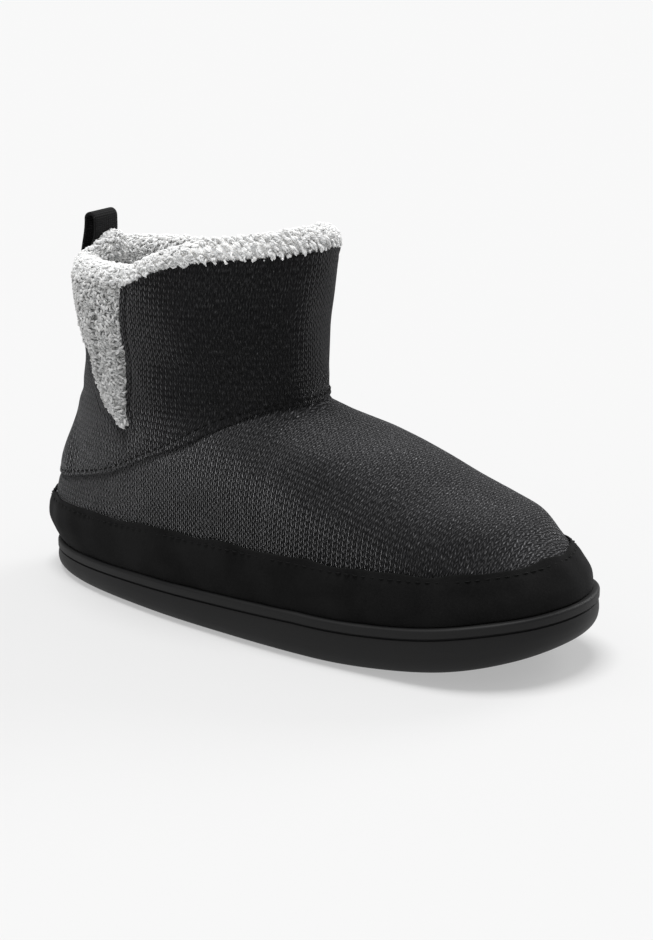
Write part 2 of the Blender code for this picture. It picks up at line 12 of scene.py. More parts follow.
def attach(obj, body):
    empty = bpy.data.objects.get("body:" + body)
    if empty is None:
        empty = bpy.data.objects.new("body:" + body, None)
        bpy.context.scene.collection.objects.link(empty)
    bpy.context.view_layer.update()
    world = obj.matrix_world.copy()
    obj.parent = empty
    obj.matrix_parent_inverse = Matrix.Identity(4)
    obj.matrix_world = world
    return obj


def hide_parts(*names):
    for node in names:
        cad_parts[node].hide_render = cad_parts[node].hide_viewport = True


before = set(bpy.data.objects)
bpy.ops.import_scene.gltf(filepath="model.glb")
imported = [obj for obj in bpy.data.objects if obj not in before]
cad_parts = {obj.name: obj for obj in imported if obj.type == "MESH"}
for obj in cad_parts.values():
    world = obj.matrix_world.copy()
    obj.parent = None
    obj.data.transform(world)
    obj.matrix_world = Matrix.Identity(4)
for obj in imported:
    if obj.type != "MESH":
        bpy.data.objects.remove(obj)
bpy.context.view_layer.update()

# The form that the solids have, as named sizes and tables of shares of them
size = {
    "length": 0.290, "ballWidth": 0.107, "heelEdge": 0.015, "ballEdge": 0.022,
    "toeSpring": 0.0165, "edgeTuck": 0.0075, "rimHeight": 0.0042,
    "instepHeight": 0.080, "collarHeight": 0.153, "shaftWidth": 0.090,
    "wall": 0.0020, "seamStep": 0.0007, "guardHeight": 0.0260,
    "insoleThickness": 0.0055, "insoleGap": 0.0015, "pile": 0.0075,
    "rollDepth": 0.0125, "gap": 0.0003, "shaftGirth": 0.36, "drape": 0.00032,
    "toeFall": 0.0044, "taperShare": 0.86, "heelTip": 0.030, "toeTip": 0.075,
    "restStation": 0.40, "ballStation": 0.60, "springStation": 0.62,
}

# Sole's outline: station as a share of the length, sides as shares of the ball width
planRows = np.array([
    (0.035, 0.170, 0.235), (0.130, 0.315, 0.345), (0.300, 0.425, 0.320), (0.450, 0.474, 0.335),
    (0.600, 0.498, 0.420), (0.730, 0.488, 0.487), (0.860, 0.446, 0.445), (0.955, 0.280, 0.338)])

# Levels of the last up to the throat: height, back, front, outer and inner half width, oval share
footRows = np.array([
    (0.000, 0.0150, 0.985, 0.458, 0.447, 0.00), (0.075, 0.0010, 0.982, 0.470, 0.458, 0.02),
    (0.160, -0.0095, 0.967, 0.474, 0.462, 0.05), (0.300, -0.0015, 0.936, 0.472, 0.460, 0.11),
    (0.430, 0.0095, 0.907, 0.468, 0.456, 0.20), (0.530, 0.0190, 0.863, 0.462, 0.450, 0.30),
    (0.630, 0.0310, 0.806, 0.452, 0.442, 0.41), (0.730, 0.0445, 0.749, 0.438, 0.430, 0.52),
    (0.830, 0.0565, 0.681, 0.415, 0.408, 0.64), (0.920, 0.0655, 0.590, 0.390, 0.385, 0.78)])

# Levels of the shaft, from the throat to the collar
shaftRows = np.array([
    (0.00, 0.0730, 0.538, 0.440, 0.436, 0.90), (0.10, 0.0790, 0.531, 0.445, 0.443, 0.97),
    (0.25, 0.0840, 0.527, 0.458, 0.458, 1.00), (0.45, 0.0740, 0.528, 0.480, 0.480, 1.00),
    (0.70, 0.0630, 0.536, 0.496, 0.496, 1.00), (1.00, 0.0600, 0.549, 0.500, 0.500, 1.00)])

# Mudguard's top: way round from the heel over the outer side, height as a share
guardRows = np.array([
    (0.00, 0.923), (0.12, 0.931), (0.20, 1.000), (0.30, 0.962), (0.36, 0.923), (0.42, 0.804),
    (0.50, 0.746), (0.58, 0.815), (0.66, 0.915), (0.78, 0.962), (0.90, 0.931), (1.00, 0.923)])

# Seam between vamp and shaft, and the collar's edge: way round from the heel over the outer side,
# then height as a share
seamRows = np.array([
    (0.000, 0.42), (0.060, 0.43), (0.130, 0.53), (0.190, 0.70), (0.250, 0.83), (0.340, 0.96),
    (0.420, 1.03), (0.500, 1.04), (0.580, 1.03), (0.660, 0.96), (0.750, 0.83), (0.810, 0.70),
    (0.870, 0.53), (0.940, 0.43), (1.000, 0.42)])
collarRows = np.array([
    (0.000, 0.80), (0.078, 0.77), (0.222, 0.79), (0.250, 0.86), (0.290, 0.94), (0.350, 0.98),
    (0.500, 1.00), (0.580, 0.97), (0.640, 0.88), (0.700, 0.80), (0.770, 0.78), (0.850, 0.80),
    (0.930, 0.82), (1.000, 0.80)])

# Edges of the notch: share of the way from seam to collar, then way round of the back edge and of
# the front edge. The first rows round its tip off.
notchRows = np.array([
    (0.170, 0.1930, 0.1930), (0.177, 0.1885, 0.1966), (0.190, 0.1855, 0.1984),
    (0.210, 0.1825, 0.2000), (0.330, 0.1640, 0.2065), (0.470, 0.1440, 0.2095),
    (0.610, 0.1240, 0.2120), (0.750, 0.1030, 0.2140), (0.880, 0.0800, 0.2170),
    (1.000, 0.0540, 0.2190)])

# Soft troughs in the knit: way round, half width of it, height, half height, depth
creases = [
    (0.500, 0.190, 0.0870, 0.0036, 0.0004),   # throat, where the shaft breaks over the instep
    (0.010, 0.085, 0.0800, 0.0034, 0.0009),   # over the heel's tendon
    (0.985, 0.070, 0.0935, 0.0030, 0.0007),
    (0.330, 0.060, 0.0985, 0.0045, 0.0006),   # faint fold at the outer ankle
    (0.700, 0.070, 0.0960, 0.0040, 0.0007),
    (0.640, 0.050, 0.0560, 0.0050, 0.0007),   # flex of the vamp on the inner side
    (0.360, 0.050, 0.0560, 0.0050, 0.0005),
]


def smoothCurve(rows, at):
    # Monotone cubic through the table's rows: first column is the knot, the others the values,
    # with slopes that are harmonic means of the neighbouring chords
    knots, values = rows[:, 0], rows[:, 1:]
    at = np.clip(at, knots[0], knots[-1])
    step = np.diff(knots)[:, None]
    chord = np.diff(values, axis=0) / step
    slope = np.zeros_like(values)
    slope[0], slope[-1] = chord[0], chord[-1]
    before, after = chord[:-1], chord[1:]
    same = before * after > 0
    share = ((2 * step[1:] + step[:-1]) / np.where(same, before, 1)
             + (step[1:] + 2 * step[:-1]) / np.where(same, after, 1))
    slope[1:-1] = np.where(same, 3 * (step[1:] + step[:-1]) / share, 0)
    left = np.clip(np.searchsorted(knots, at, side="right") - 1, 0, len(knots) - 2)
    width = (knots[left + 1] - knots[left])[..., None]
    t = (at - knots[left])[..., None] / width
    return (values[left] * (1 + 2 * t) * (1 - t) ** 2 + values[left + 1] * t * t * (3 - 2 * t)
            + width * t * (1 - t) * (slope[left] * (1 - t) - slope[left + 1] * t))


def smoothStep(low, high, value):
    t = np.clip((value - low) / (high - low), 0, 1)
    return t * t * (3 - 2 * t)


def plan(around):
    # Sole's outline in shares: closed centripetal curve heel, outer side, toe, inner side
    points = np.vstack([(0.0, size["heelTip"]), planRows[:, :2] * (1, -1), (1.0, size["toeTip"]),
                        planRows[::-1, ::2]])
    count = len(points)
    place = around % 1.0 * count
    index = np.floor(place).astype(int) % count
    t = (place - np.floor(place))[..., None]
    p0, p1, p2, p3 = (points[(index + k) % count] for k in (-1, 0, 1, 2))
    d1, d2, d3 = (np.sqrt(np.linalg.norm(b - a, axis=-1, keepdims=True))
                  for a, b in ((p0, p1), (p1, p2), (p2, p3)))
    m1 = d2 * ((p1 - p0) / d1 - (p2 - p0) / (d1 + d2) + (p2 - p1) / d2)
    m2 = d2 * ((p2 - p1) / d2 - (p3 - p1) / (d2 + d3) + (p3 - p2) / d3)
    return (p1 * (1 + 2 * t) * (1 - t) ** 2 + m1 * t * (1 - t) ** 2
            + p2 * t * t * (3 - 2 * t) + m2 * t * t * (t - 1))


def edgeHeight(x):
    # From the heel's height up to the ball's, and thinner again round the toe's end
    way = np.clip(x / (size["length"] * size["ballStation"]), 0, 1)
    toe = np.clip((x / size["length"] - size["taperShare"]) / (1 - size["taperShare"]), 0, 1)
    return (size["heelEdge"] + (size["ballEdge"] - size["heelEdge"]) * way
            - size["toeFall"] * toe ** 2)


def floorLift(x):
    spring = size["springStation"]
    return size["toeSpring"] * np.clip((x / size["length"] - spring) / (1 - spring), 0, 1) ** 2


def seat(x):
    return edgeHeight(x) + floorLift(x)


def soleRing(around, inset):
    # Sole's outline in metres, moved in along its own normal
    step = 1e-4
    scale = np.array([size["length"], size["ballWidth"]])
    along = unit((plan(around + step) - plan(around - step)) * scale)
    return plan(around) * scale - np.stack([along[..., 1], -along[..., 0]], -1) * inset[..., None]


def last(around, height):
    # Upper's outer face: a level loop between the sole's outline and an ellipse
    foot = footRows * np.array([size["instepHeight"], size["length"], size["length"],
                                size["ballWidth"], size["ballWidth"], 1])
    shaft = shaftRows * np.array([size["collarHeight"] - size["instepHeight"], size["length"],
                                  size["length"], size["shaftWidth"], size["shaftWidth"], 1])
    shaft[:, 0] += size["instepHeight"]
    back, front, outer, inner, oval = np.moveaxis(smoothCurve(np.vstack([foot, shaft]), height),
                                                  -1, 0)
    shape = plan(around)
    xSole = back + shape[..., 0] * (front - back)
    ySole = shape[..., 1] * np.where(shape[..., 1] < 0, outer / planRows[:, 1].max(),
                                     inner / planRows[:, 2].max())
    turn = 2 * pi * around
    xOval = (back + front) / 2 - np.cos(turn) * (front - back) / 2
    yOval = -np.sin(turn) * np.where(np.sin(turn) > 0, outer, inner)
    x = xSole + (xOval - xSole) * oval
    y = ySole + (yOval - ySole) * oval
    return np.stack([x, y, height + seat(x)], -1)


def lastNormal(around, height):
    return unit(np.cross(last(around + 2e-3, height) - last(around - 2e-3, height),
                         last(around, height + 2e-4) - last(around, height - 2e-4)))


def guardHeight(around):
    return size["guardHeight"] * smoothCurve(guardRows, around % 1.0)[..., 0]


def seamHeight(around):
    return size["instepHeight"] * smoothCurve(seamRows, around % 1.0)[..., 0]


def collarHeight(around):
    share = smoothCurve(collarRows, around % 1.0)[..., 0]
    return size["instepHeight"] + share * (size["collarHeight"] - size["instepHeight"])


def trough(around, height):
    # Sum of the creases: a bell across each one, faded out along the way round
    depth = np.zeros(np.broadcast(around, height).shape)
    for way, halfWay, level, halfHeight, most in creases:
        away = np.abs((around - way + 0.5) % 1.0 - 0.5)
        depth += most * np.exp(-((height - level) / halfHeight) ** 2 - (away / halfWay) ** 4)
    return depth


def drape(around, height):
    # Slow waves of cloth over a last: three sines with fixed phases, a third of a millimetre high
    turn = 2 * pi * around
    return size["drape"] * (np.sin(3 * turn + 95 * height + 0.6) * np.sin(70 * height + 1.1)
                            + 0.6 * np.sin(7 * turn - 60 * height + 2.1)
                            + 0.4 * np.sin(11 * turn + 130 * height + 4.0))


def face(around, height, depth):
    # A point that deep under the upper's face
    return last(around, height) - lastNormal(around, height) * np.asarray(depth)[..., None]


def roundedShare(away, radius):
    # 0 on an edge to 1 a radius away from it, as a quarter circle
    return np.sqrt(np.clip(1 - (1 - np.clip(away / radius, 0, 1)) ** 2, 0, 1))


def lumps(u, v, cell, wrap, seed):
    # Round lumps that touch: a dome over the nearest of scattered centres, one to a cell. The
    # pattern closes after wrap cells of u.
    cu, cv = u / cell, v / cell
    baseU, baseV = np.floor(cu), np.floor(cv)
    nearest = np.full(cu.shape, 9.0)
    for du in (-1, 0, 1):
        for dv in (-1, 0, 1):
            gu, gv = baseU + du, baseV + dv
            key = (gu % wrap) * 127.1 + gv * 311.7 + seed
            hu = np.sin(key) * 43758.5453 % 1.0
            hv = np.sin(key * 1.31 + 5.7) * 24634.6345 % 1.0
            nearest = np.minimum(nearest, (gu + 0.15 + 0.7 * hu - cu) ** 2
                                 + (gv + 0.15 + 0.7 * hv - cv) ** 2)
    return np.sqrt(np.clip(1 - 1.35 * nearest, 0, 1))


def bilinear(grid, row, column):
    # Value of a grid between its four entries round a place, given in rows and columns
    r = np.clip(row.astype(int), 0, grid.shape[0] - 2)
    c = np.clip(column.astype(int), 0, grid.shape[1] - 2)
    fr, fc = row - r, column - c
    if grid.ndim > 2:
        fr, fc = fr[..., None], fc[..., None]
    return ((grid[r, c] * (1 - fc) + grid[r, c + 1] * fc) * (1 - fr)
            + (grid[r + 1, c] * (1 - fc) + grid[r + 1, c + 1] * fc) * fr)


def scatter(count, seed):
    # Evenly spread points of the unit square: two steps of the plastic number, and four more
    # shares for sizes and turns
    index = np.arange(1, count + 1) + seed
    steps = np.array([0.7548776662, 0.5698402910, 0.8191725134, 0.6710436067, 0.5497004779,
                      0.4502995221])
    return np.moveaxis(index[:, None] * steps % 1.0, -1, 0)


# Meshes

def makePiece(name, points, faces, finish, uv=None, corners=None):
    # The forms are worked out from the heel's back, and the mesh stands over the rest origin
    used, number = np.unique(np.concatenate([np.ravel(f) for f in faces]), return_inverse=True)
    placed = points[used] - (size["restStation"] * size["length"], 0, 0)
    polygons = []
    start = 0
    for block in faces:
        polygons += number[start:start + block.size].reshape(block.shape).tolist()
        start += block.size
    mesh = bpy.data.meshes.new(name)
    mesh.from_pydata(placed.tolist(), [], polygons)
    if uv is not None:
        layer = mesh.uv_layers.new(name="cloth")
        layer.data.foreach_set("uv", uv[np.ravel(corners)].ravel())
    mesh.materials.append(finish)
    mesh.shade_smooth()
    piece = bpy.data.objects.new(name, mesh)
    bpy.context.scene.collection.objects.link(piece)
    return piece


def dress(piece, slot, *nodes):
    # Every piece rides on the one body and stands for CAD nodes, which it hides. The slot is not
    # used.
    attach(piece, "root")
    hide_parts(*nodes)
    return piece


def quads(number):
    # Quads of a grid of vertex numbers: way round, then up, so that they face outwards
    return np.stack([number[:-1, :-1], number[:-1, 1:], number[1:, 1:], number[1:, :-1]],
                    -1).reshape(-1, 4)


def numbers(grid):
    # Vertex numbers of a grid of points
    return np.arange(grid[..., 0].size).reshape(grid.shape[:-1])


def unit(vectors):
    return vectors / np.maximum(np.linalg.norm(vectors, axis=-1, keepdims=True), 1e-12)


def lengthAlong(path):
    # Length of a path up to each of its points
    return np.concatenate([[0], np.cumsum(np.linalg.norm(np.diff(path, axis=0), axis=1))])


def wrapRound(grid):
    return np.concatenate([grid, grid[:, :1]], 1)


def shell(name, outer, inner, finish, closed=False, uv=None, welded=0):
    # A sheet with a wall: its outer and its inner grid share their border. Rows run up and
    # columns run round. The first welded rows of an open sheet are closed end to end.
    number = numbers(outer)
    border = np.zeros(number.shape, bool)
    border[[0, -1]] = True
    if not closed:
        number[:welded, -1] = number[:welded, 0]
        border[max(welded - 1, 0):, [0, -1]] = True
    inside = np.where(border, number, number + number.size)
    if closed:
        number, inside = wrapRound(number), wrapRound(inside)
    faces = np.vstack([quads(number), quads(inside)[:, ::-1]])
    points = np.vstack([outer.reshape(-1, 3), inner.reshape(-1, 3)])
    if uv is None:
        return makePiece(name, points, [faces], finish)
    flat = quads(numbers(uv))
    return makePiece(name, points, [faces], finish, uv.reshape(-1, 2),
                     np.vstack([flat, flat[:, ::-1]]))


def tubes(name, path, across, over, radius, sides, finish):
    # Many short tubes: rings round each path in the plane of its two given directions, with both
    # ends closed
    turn = 2 * pi * np.arange(sides) / sides
    spoke = (across[:, :, None] * np.cos(turn)[:, None] + over[:, :, None] * np.sin(turn)[:, None])
    points = path[:, :, None] + spoke * radius[:, :, None, None]
    number = numbers(points)
    after = np.roll(number, -1, 2)
    walls = np.stack([number[:, :-1], number[:, 1:], after[:, 1:], after[:, :-1]],
                     -1).reshape(-1, 4)
    return makePiece(name, points.reshape(-1, 3),
                     [walls, number[:, 0].reshape(-1, sides), number[:, -1, ::-1]], finish)


# Materials

def colour(text):
    # sRGB hex to the linear colour that a shader takes
    share = np.array([int(text[k:k + 2], 16) / 255 for k in (1, 3, 5)])
    linear = np.where(share <= 0.04045, share / 12.92, ((share + 0.055) / 1.055) ** 2.4)
    return (*linear.tolist(), 1.0)


def addNode(tree, kind, inputs=None, out=0, **settings):
    # One node with its settings. An input is a value, or the output that is linked to it.
    node = tree.nodes.new("ShaderNode" + kind)
    for name, value in settings.items():
        setattr(node, name, value)
    for key, value in (inputs or {}).items():
        if isinstance(value, bpy.types.NodeSocket):
            tree.links.new(value, node.inputs[key])
        else:
            node.inputs[key].default_value = value
    return node.outputs[out]


def startMaterial(name, constants):
    made = bpy.data.materials.new(name)
    made.use_nodes = True
    for key, value in constants.items():
        made.node_tree.nodes["Principled BSDF"].inputs[key].default_value = value
    return made, made.node_tree


def endMaterial(made, patterns):
    # Each pattern goes to the shader's socket of that name
    for key, value in patterns.items():
        made.node_tree.links.new(value, made.node_tree.nodes["Principled BSDF"].inputs[key])
    return made


def colourRamp(tree, factor, stops):
    node = addNode(tree, "ValToRGB", {0: factor}).node
    for index, (place, shade) in enumerate(stops):
        element = (node.color_ramp.elements[index] if index < 2
                   else node.color_ramp.elements.new(place))
        element.position, element.color = place, colour(shade)
    return node.outputs[0]


knitLook = {
    "wale": 0.00245, "course": 0.0027,    # width of a column of stitches and height of a row
    "slant": 1.05,                        # rows that a stitch's leg climbs
    "uneven": 0.0006,                     # how far the rows wander
    "fibre": (1500, 420, 1),              # streaks along the yarn, to a metre
    "dark": "#141415", "mid": "#222223", "light": "#353536", "fleck": "#59595a",
    # painted light: the vamp's knit is drawn paler near the instep's ridge, where light falls on
    # its top
    "ridge": (0.018, 0.080), "ridgeLightFactors": (3.60, 0.65),   # paler near the instep's ridge
}


def heatherKnit(name, hollowShade, relief, paintedRidgeLight=False):
    # Brushed polyester-wool jersey, knitted from a yarn of black and grey fibres: rows of small
    # V stitches with painted shade between them, pale flecks along the yarn and a lighter bloom at
    # grazing angles. The stitches are drawn a little larger than the real 2 mm to show. Where
    # asked, painted light lightens it near the instep's ridge.
    look = knitLook
    made, tree = startMaterial(name, {
        "Roughness": 0.95, "Specular IOR Level": 0.10, "Sheen Weight": 0.50,
        "Sheen Roughness": 0.14, "Sheen Tint": colour("#d8d8da")})
    cloth = addNode(tree, "UVMap", uv_map="cloth")
    warp = addNode(tree, "TexNoise", {"Vector": cloth, "Scale": 260.0, "Detail": 1.0}, out=1)
    warp = addNode(tree, "VectorMath", {0: warp, 1: (0.5, 0.5, 0.5)}, operation="SUBTRACT")
    uneven = addNode(tree, "VectorMath", {0: warp, 1: (look["uneven"], look["uneven"], 0.0),
                                          2: cloth}, operation="MULTIPLY_ADD")
    along, up = addNode(tree, "SeparateXYZ", {0: uneven}).node.outputs[:2]
    wales = addNode(tree, "Math", {0: along, 1: 1 / look["wale"]}, operation="MULTIPLY")
    courses = addNode(tree, "Math", {0: up, 1: 1 / look["course"]}, operation="MULTIPLY")
    acrossWale = addNode(tree, "Math", {0: wales, 1: 0.5}, operation="PINGPONG")
    climb = addNode(tree, "Math", {0: acrossWale, 1: 2 * look["slant"], 2: courses},
                    operation="MULTIPLY_ADD")
    strand = addNode(tree, "Math", {0: climb, 1: 0.5}, operation="PINGPONG")
    leg = addNode(tree, "Math", {0: wales, 1: 0.25}, operation="PINGPONG")
    strand = addNode(tree, "MapRange", {"Value": strand, "From Min": 0.02, "From Max": 0.42},
                     interpolation_type="SMOOTHSTEP")
    leg = addNode(tree, "MapRange", {"Value": leg, "From Min": 0.0, "From Max": 0.20},
                  interpolation_type="SMOOTHSTEP")
    stitch = addNode(tree, "Math", {0: strand, 1: leg}, operation="MULTIPLY")
    fibre = addNode(tree, "Mapping", {"Vector": uneven, "Scale": look["fibre"]})
    fibre = addNode(tree, "TexNoise", {"Vector": fibre, "Scale": 1.0, "Detail": 3.0,
                                       "Roughness": 0.7})
    blotch = addNode(tree, "TexNoise", {"Vector": cloth, "Scale": 34.0, "Detail": 2.0})
    shade = colourRamp(tree, fibre, [(0.30, look["dark"]), (0.72, look["fleck"]),
                                     (0.50, look["mid"]), (0.60, look["light"])])
    # painted shade: darker down in the hollows between the stitches, where the bump dips, and a
    # little lighter on their crests
    lit = addNode(tree, "MapRange", {"Value": stitch, "To Min": hollowShade, "To Max": 1.15})
    tone = addNode(tree, "MapRange", {"Value": blotch, "From Min": 0.3, "From Max": 0.7,
                                      "To Min": 0.88, "To Max": 1.12})
    lit = addNode(tree, "Math", {0: lit, 1: tone}, operation="MULTIPLY")
    if paintedRidgeLight:
        # painted light: near the instep's ridge, where light falls on the top, the knit's colour
        # is lightened, and away from it darkened
        fromRidge = addNode(tree, "SeparateXYZ", {0: cloth}, out=1)
        fromRidge = addNode(tree, "Math", {0: fromRidge}, operation="ABSOLUTE")
        paintedLight = addNode(tree, "MapRange", {
            "Value": fromRidge, "From Min": look["ridge"][0], "From Max": look["ridge"][1],
            "To Min": look["ridgeLightFactors"][0], "To Max": look["ridgeLightFactors"][1]})
        lit = addNode(tree, "Math", {0: lit, 1: paintedLight}, operation="MULTIPLY")
    base = addNode(tree, "VectorMath", {0: shade, "Scale": lit}, operation="SCALE")
    raised = addNode(tree, "Math", {0: fibre, 1: 0.30, 2: stitch}, operation="MULTIPLY_ADD")
    bump = addNode(tree, "Bump", {"Height": raised, "Distance": relief, "Strength": 0.9})
    return endMaterial(made, {"Base Color": base, "Normal": bump})


suedeLook = {"dark": "#0e0e0e", "light": "#191919", "napScale": 900.0, "brushScale": 38.0}


def blackMicrosuede():
    # Split microfibre, sanded to a short nap: matt and nearly black, with soft patches where the
    # nap lies another way, and no gloss
    look = suedeLook
    made, tree = startMaterial("microsuede_sanded", {
        "Roughness": 1.0, "Specular IOR Level": 0.10, "Sheen Weight": 0.16,
        "Sheen Roughness": 0.4, "Sheen Tint": colour("#8a8a8c")})
    place = addNode(tree, "TexCoord", out=3)
    brush = addNode(tree, "TexNoise", {"Vector": place, "Scale": look["brushScale"],
                                       "Detail": 3.0, "Distortion": 0.4})
    nap = addNode(tree, "TexNoise", {"Vector": place, "Scale": look["napScale"], "Detail": 3.0,
                                     "Roughness": 0.65})
    mixed = addNode(tree, "Math", {0: nap, 1: 0.5, 2: brush}, operation="MULTIPLY_ADD")
    shade = colourRamp(tree, mixed, [(0.55, look["dark"]), (0.95, look["light"])])
    bump = addNode(tree, "Bump", {"Height": nap, "Distance": 0.00018, "Strength": 0.7})
    return endMaterial(made, {"Base Color": shade, "Normal": bump})


rubberLook = {"dark": "#121213", "light": "#191919", "grain": 1500.0, "cloud": 22.0}


def mouldedRubber():
    # Thermoplastic rubber from a spark-eroded mould: a fine even grain that spreads the light
    # into a dull sheen, a little paler and rougher in soft clouds
    look = rubberLook
    made, tree = startMaterial("rubber_moulded_matt", {"Specular IOR Level": 0.24, "IOR": 1.50})
    place = addNode(tree, "TexCoord", out=3)
    grain = addNode(tree, "TexNoise", {"Vector": place, "Scale": look["grain"], "Detail": 2.0,
                                       "Roughness": 0.6})
    cloud = addNode(tree, "TexNoise", {"Vector": place, "Scale": look["cloud"], "Detail": 4.0})
    shade = colourRamp(tree, cloud, [(0.35, look["dark"]), (0.70, look["light"])])
    rough = addNode(tree, "MapRange", {"Value": cloud, "From Min": 0.3, "From Max": 0.7,
                                       "To Min": 0.50, "To Max": 0.64})
    bump = addNode(tree, "Bump", {"Height": grain, "Distance": 0.00012, "Strength": 0.55})
    return endMaterial(made, {"Base Color": shade, "Roughness": rough, "Normal": bump})


# Colours of the pile from its hollows, in painted shade, to its tips: loose; a darker copy,
# painted shade, for the notch's recess; and darker on the footbed
fleeceLooks = {
    "fleece": ("sherpa_fleece", "#dadad9", "#f3f3f2", "#fcfcfb"),
    # painted shade: a darker copy of the sherpa for the notch, which lies recessed in shadow
    "notchPaintedShade": ("sherpa_notch_painted_shade", "#9a9a99", "#c6c6c5", "#dededd"),
    "footbed": ("sherpa_footbed", "#8f8f8e", "#bdbdbc", "#d6d6d5"),
}


def sherpaFleece(name, deep, mid, tip):
    # Curled polyester pile: soft off-white tufts with painted shade, grey in the hollows between
    # them where the bump dips, and a velvety edge
    made, tree = startMaterial(name, {
        "Roughness": 1.0, "Specular IOR Level": 0.05, "Sheen Weight": 0.20,
        "Sheen Roughness": 0.6, "Sheen Tint": colour("#ffffff"), "Subsurface Weight": 0.6,
        "Subsurface Radius": (1.0, 0.97, 0.94), "Subsurface Scale": 0.0022})
    place = addNode(tree, "TexCoord", out=3)
    tuft = addNode(tree, "TexNoise", {"Vector": place, "Scale": 210.0, "Detail": 2.0,
                                      "Distortion": 0.6})
    fibre = addNode(tree, "TexNoise", {"Vector": place, "Scale": 1900.0, "Detail": 2.0,
                                       "Roughness": 0.7})
    # painted shade: grey where the tuft noise, which also makes the bump, is low, white at the
    # tips
    shade = colourRamp(tree, tuft, [(0.30, deep), (0.62, tip), (0.44, mid)])
    mixed = addNode(tree, "Math", {0: fibre, 1: 0.4, 2: tuft}, operation="MULTIPLY_ADD")
    bump = addNode(tree, "Bump", {"Height": mixed, "Distance": 0.0005, "Strength": 0.6})
    return endMaterial(made, {"Base Color": shade, "Normal": bump})


webbingLook = {"rib": 0.0010, "end": 0.0016, "dark": "#080808", "light": "#131314"}


def ribbedWebbing():
    # Woven polyester tape, grosgrain weave: black with fine ribs across it and a dull thread
    # gloss. The ribs are drawn at 1 mm, a little coarser than the real ones, to show.
    look = webbingLook
    made, tree = startMaterial("webbing_grosgrain", {
        "Roughness": 0.80, "Specular IOR Level": 0.20, "Sheen Weight": 0.05,
        "Sheen Tint": colour("#9a9a9c")})
    cloth = addNode(tree, "UVMap", uv_map="cloth")
    along, across = addNode(tree, "SeparateXYZ", {0: cloth}).node.outputs[:2]
    ribs = addNode(tree, "Math", {0: along, 1: 1 / look["rib"]}, operation="MULTIPLY")
    ribs = addNode(tree, "Math", {0: ribs, 1: 0.5}, operation="PINGPONG")
    ends = addNode(tree, "Math", {0: across, 1: 1 / look["end"]}, operation="MULTIPLY")
    ends = addNode(tree, "Math", {0: ends, 1: 0.5}, operation="PINGPONG")
    weave = addNode(tree, "Math", {0: ends, 1: 0.35, 2: ribs}, operation="MULTIPLY_ADD")
    # painted shade: darker down between the ribs, where the bump dips, lighter on their tops
    shade = colourRamp(tree, weave, [(0.08, look["dark"]), (0.62, look["light"])])
    bump = addNode(tree, "Bump", {"Height": weave, "Distance": 0.0005, "Strength": 0.8})
    return endMaterial(made, {"Base Color": shade, "Normal": bump})


threadLook = {"dark": "#060606", "light": "#101010", "twist": 2600.0}


def sewingThread():
    # Bonded nylon thread, black and faintly waxed, so each stitch has a small soft highlight
    look = threadLook
    made, tree = startMaterial("thread_bonded_nylon", {
        "Roughness": 0.75, "Specular IOR Level": 0.15})
    place = addNode(tree, "TexCoord", out=3)
    twist = addNode(tree, "TexNoise", {"Vector": place, "Scale": look["twist"]})
    shade = colourRamp(tree, twist, [(0.35, look["dark"]), (0.70, look["light"])])
    return endMaterial(made, {"Base Color": shade})


finishes = {
    # painted light: the vamp's copy of the knit, lightened near the instep's ridge
    "knit": heatherKnit("heather_knit_vamp_painted_light", 0.30, 0.0008, paintedRidgeLight=True),
    # the shaft's copy has less painted shade between its stitches and a shallower bump
    "shaftKnit": heatherKnit("heather_knit_shaft", 0.55, 0.0005),
    "suede": blackMicrosuede(), "rubber": mouldedRubber(),
    **{name: sherpaFleece(*look) for name, look in fleeceLooks.items()},
    "webbing": ribbedWebbing(), "thread": sewingThread(),
}
print("finishes made:", len(finishes))


# Outsole

outsoleShape = {
    "around": 480, "profileRows": 24,
    "grooveWidth": 0.0013, "grooveDepth": 0.0012, "rimRound": 0.0016, "ledge": 0.006,
    # profile from the floor to the groove: share of the height under it, share of the tuck
    "profile": np.array([(0.00, 1.00), (0.07, 0.55), (0.20, 0.24), (0.42, 0.05), (0.66, 0.00),
                         (1.00, 0.06)]),
    "treadFields": ((0.075, 0.315), (0.475, 0.865)), "treadPitch": 0.0115,
    "treadWidth": 0.0030, "treadDepth": 0.0018, "treadDraft": 0.0005, "treadBorder": 0.0150,
}


def treadCutters():
    # Grooves across the bottom: a slot with round ends, narrower at its root, square to the floor
    shape = outsoleShape
    length, width = size["length"], size["ballWidth"]
    stations = np.concatenate([np.arange(start * length, end * length, shape["treadPitch"])
                               for start, end in shape["treadFields"]])
    sides = smoothCurve(planRows, stations / length) * width
    low, high = -sides[:, 0] + shape["treadBorder"], sides[:, 1] - shape["treadBorder"]
    slope = (floorLift(stations + 1e-3) - floorLift(stations - 1e-3)) / 2e-3
    bend = np.linspace(0, pi, 9)
    turn = np.concatenate([bend, bend + pi])           # far end, then near end
    end = np.repeat([1, -1], 9)
    rings = []
    for rise, spare in ((-shape["treadDepth"], shape["treadDraft"]), (0.0, 0.0),
                        (shape["treadDepth"], -shape["treadDraft"])):
        radius = shape["treadWidth"] / 2 + spare
        x = radius * np.cos(turn)
        y = ((low + high)[:, None] + (high - low - shape["treadWidth"])[:, None] * end) / 2
        y = y + radius * np.sin(turn)
        tilt = np.arctan(slope)[:, None]
        rings.append(np.stack([stations[:, None] + x * np.cos(tilt) - rise * np.sin(tilt), y,
                               floorLift(stations)[:, None] + x * np.sin(tilt)
                               + rise * np.cos(tilt)], -1))
    points = np.stack(rings, 1)                        # groove, ring, corner
    number = numbers(points)
    after = np.roll(number, -1, 2)
    walls = np.stack([number[:, :-1], after[:, :-1], after[:, 1:], number[:, 1:]], -1)
    return makePiece("tread_cutters", points.reshape(-1, 3),
                     [walls.reshape(-1, 4), number[:, 0, ::-1], number[:, -1]],
                     finishes["rubber"])


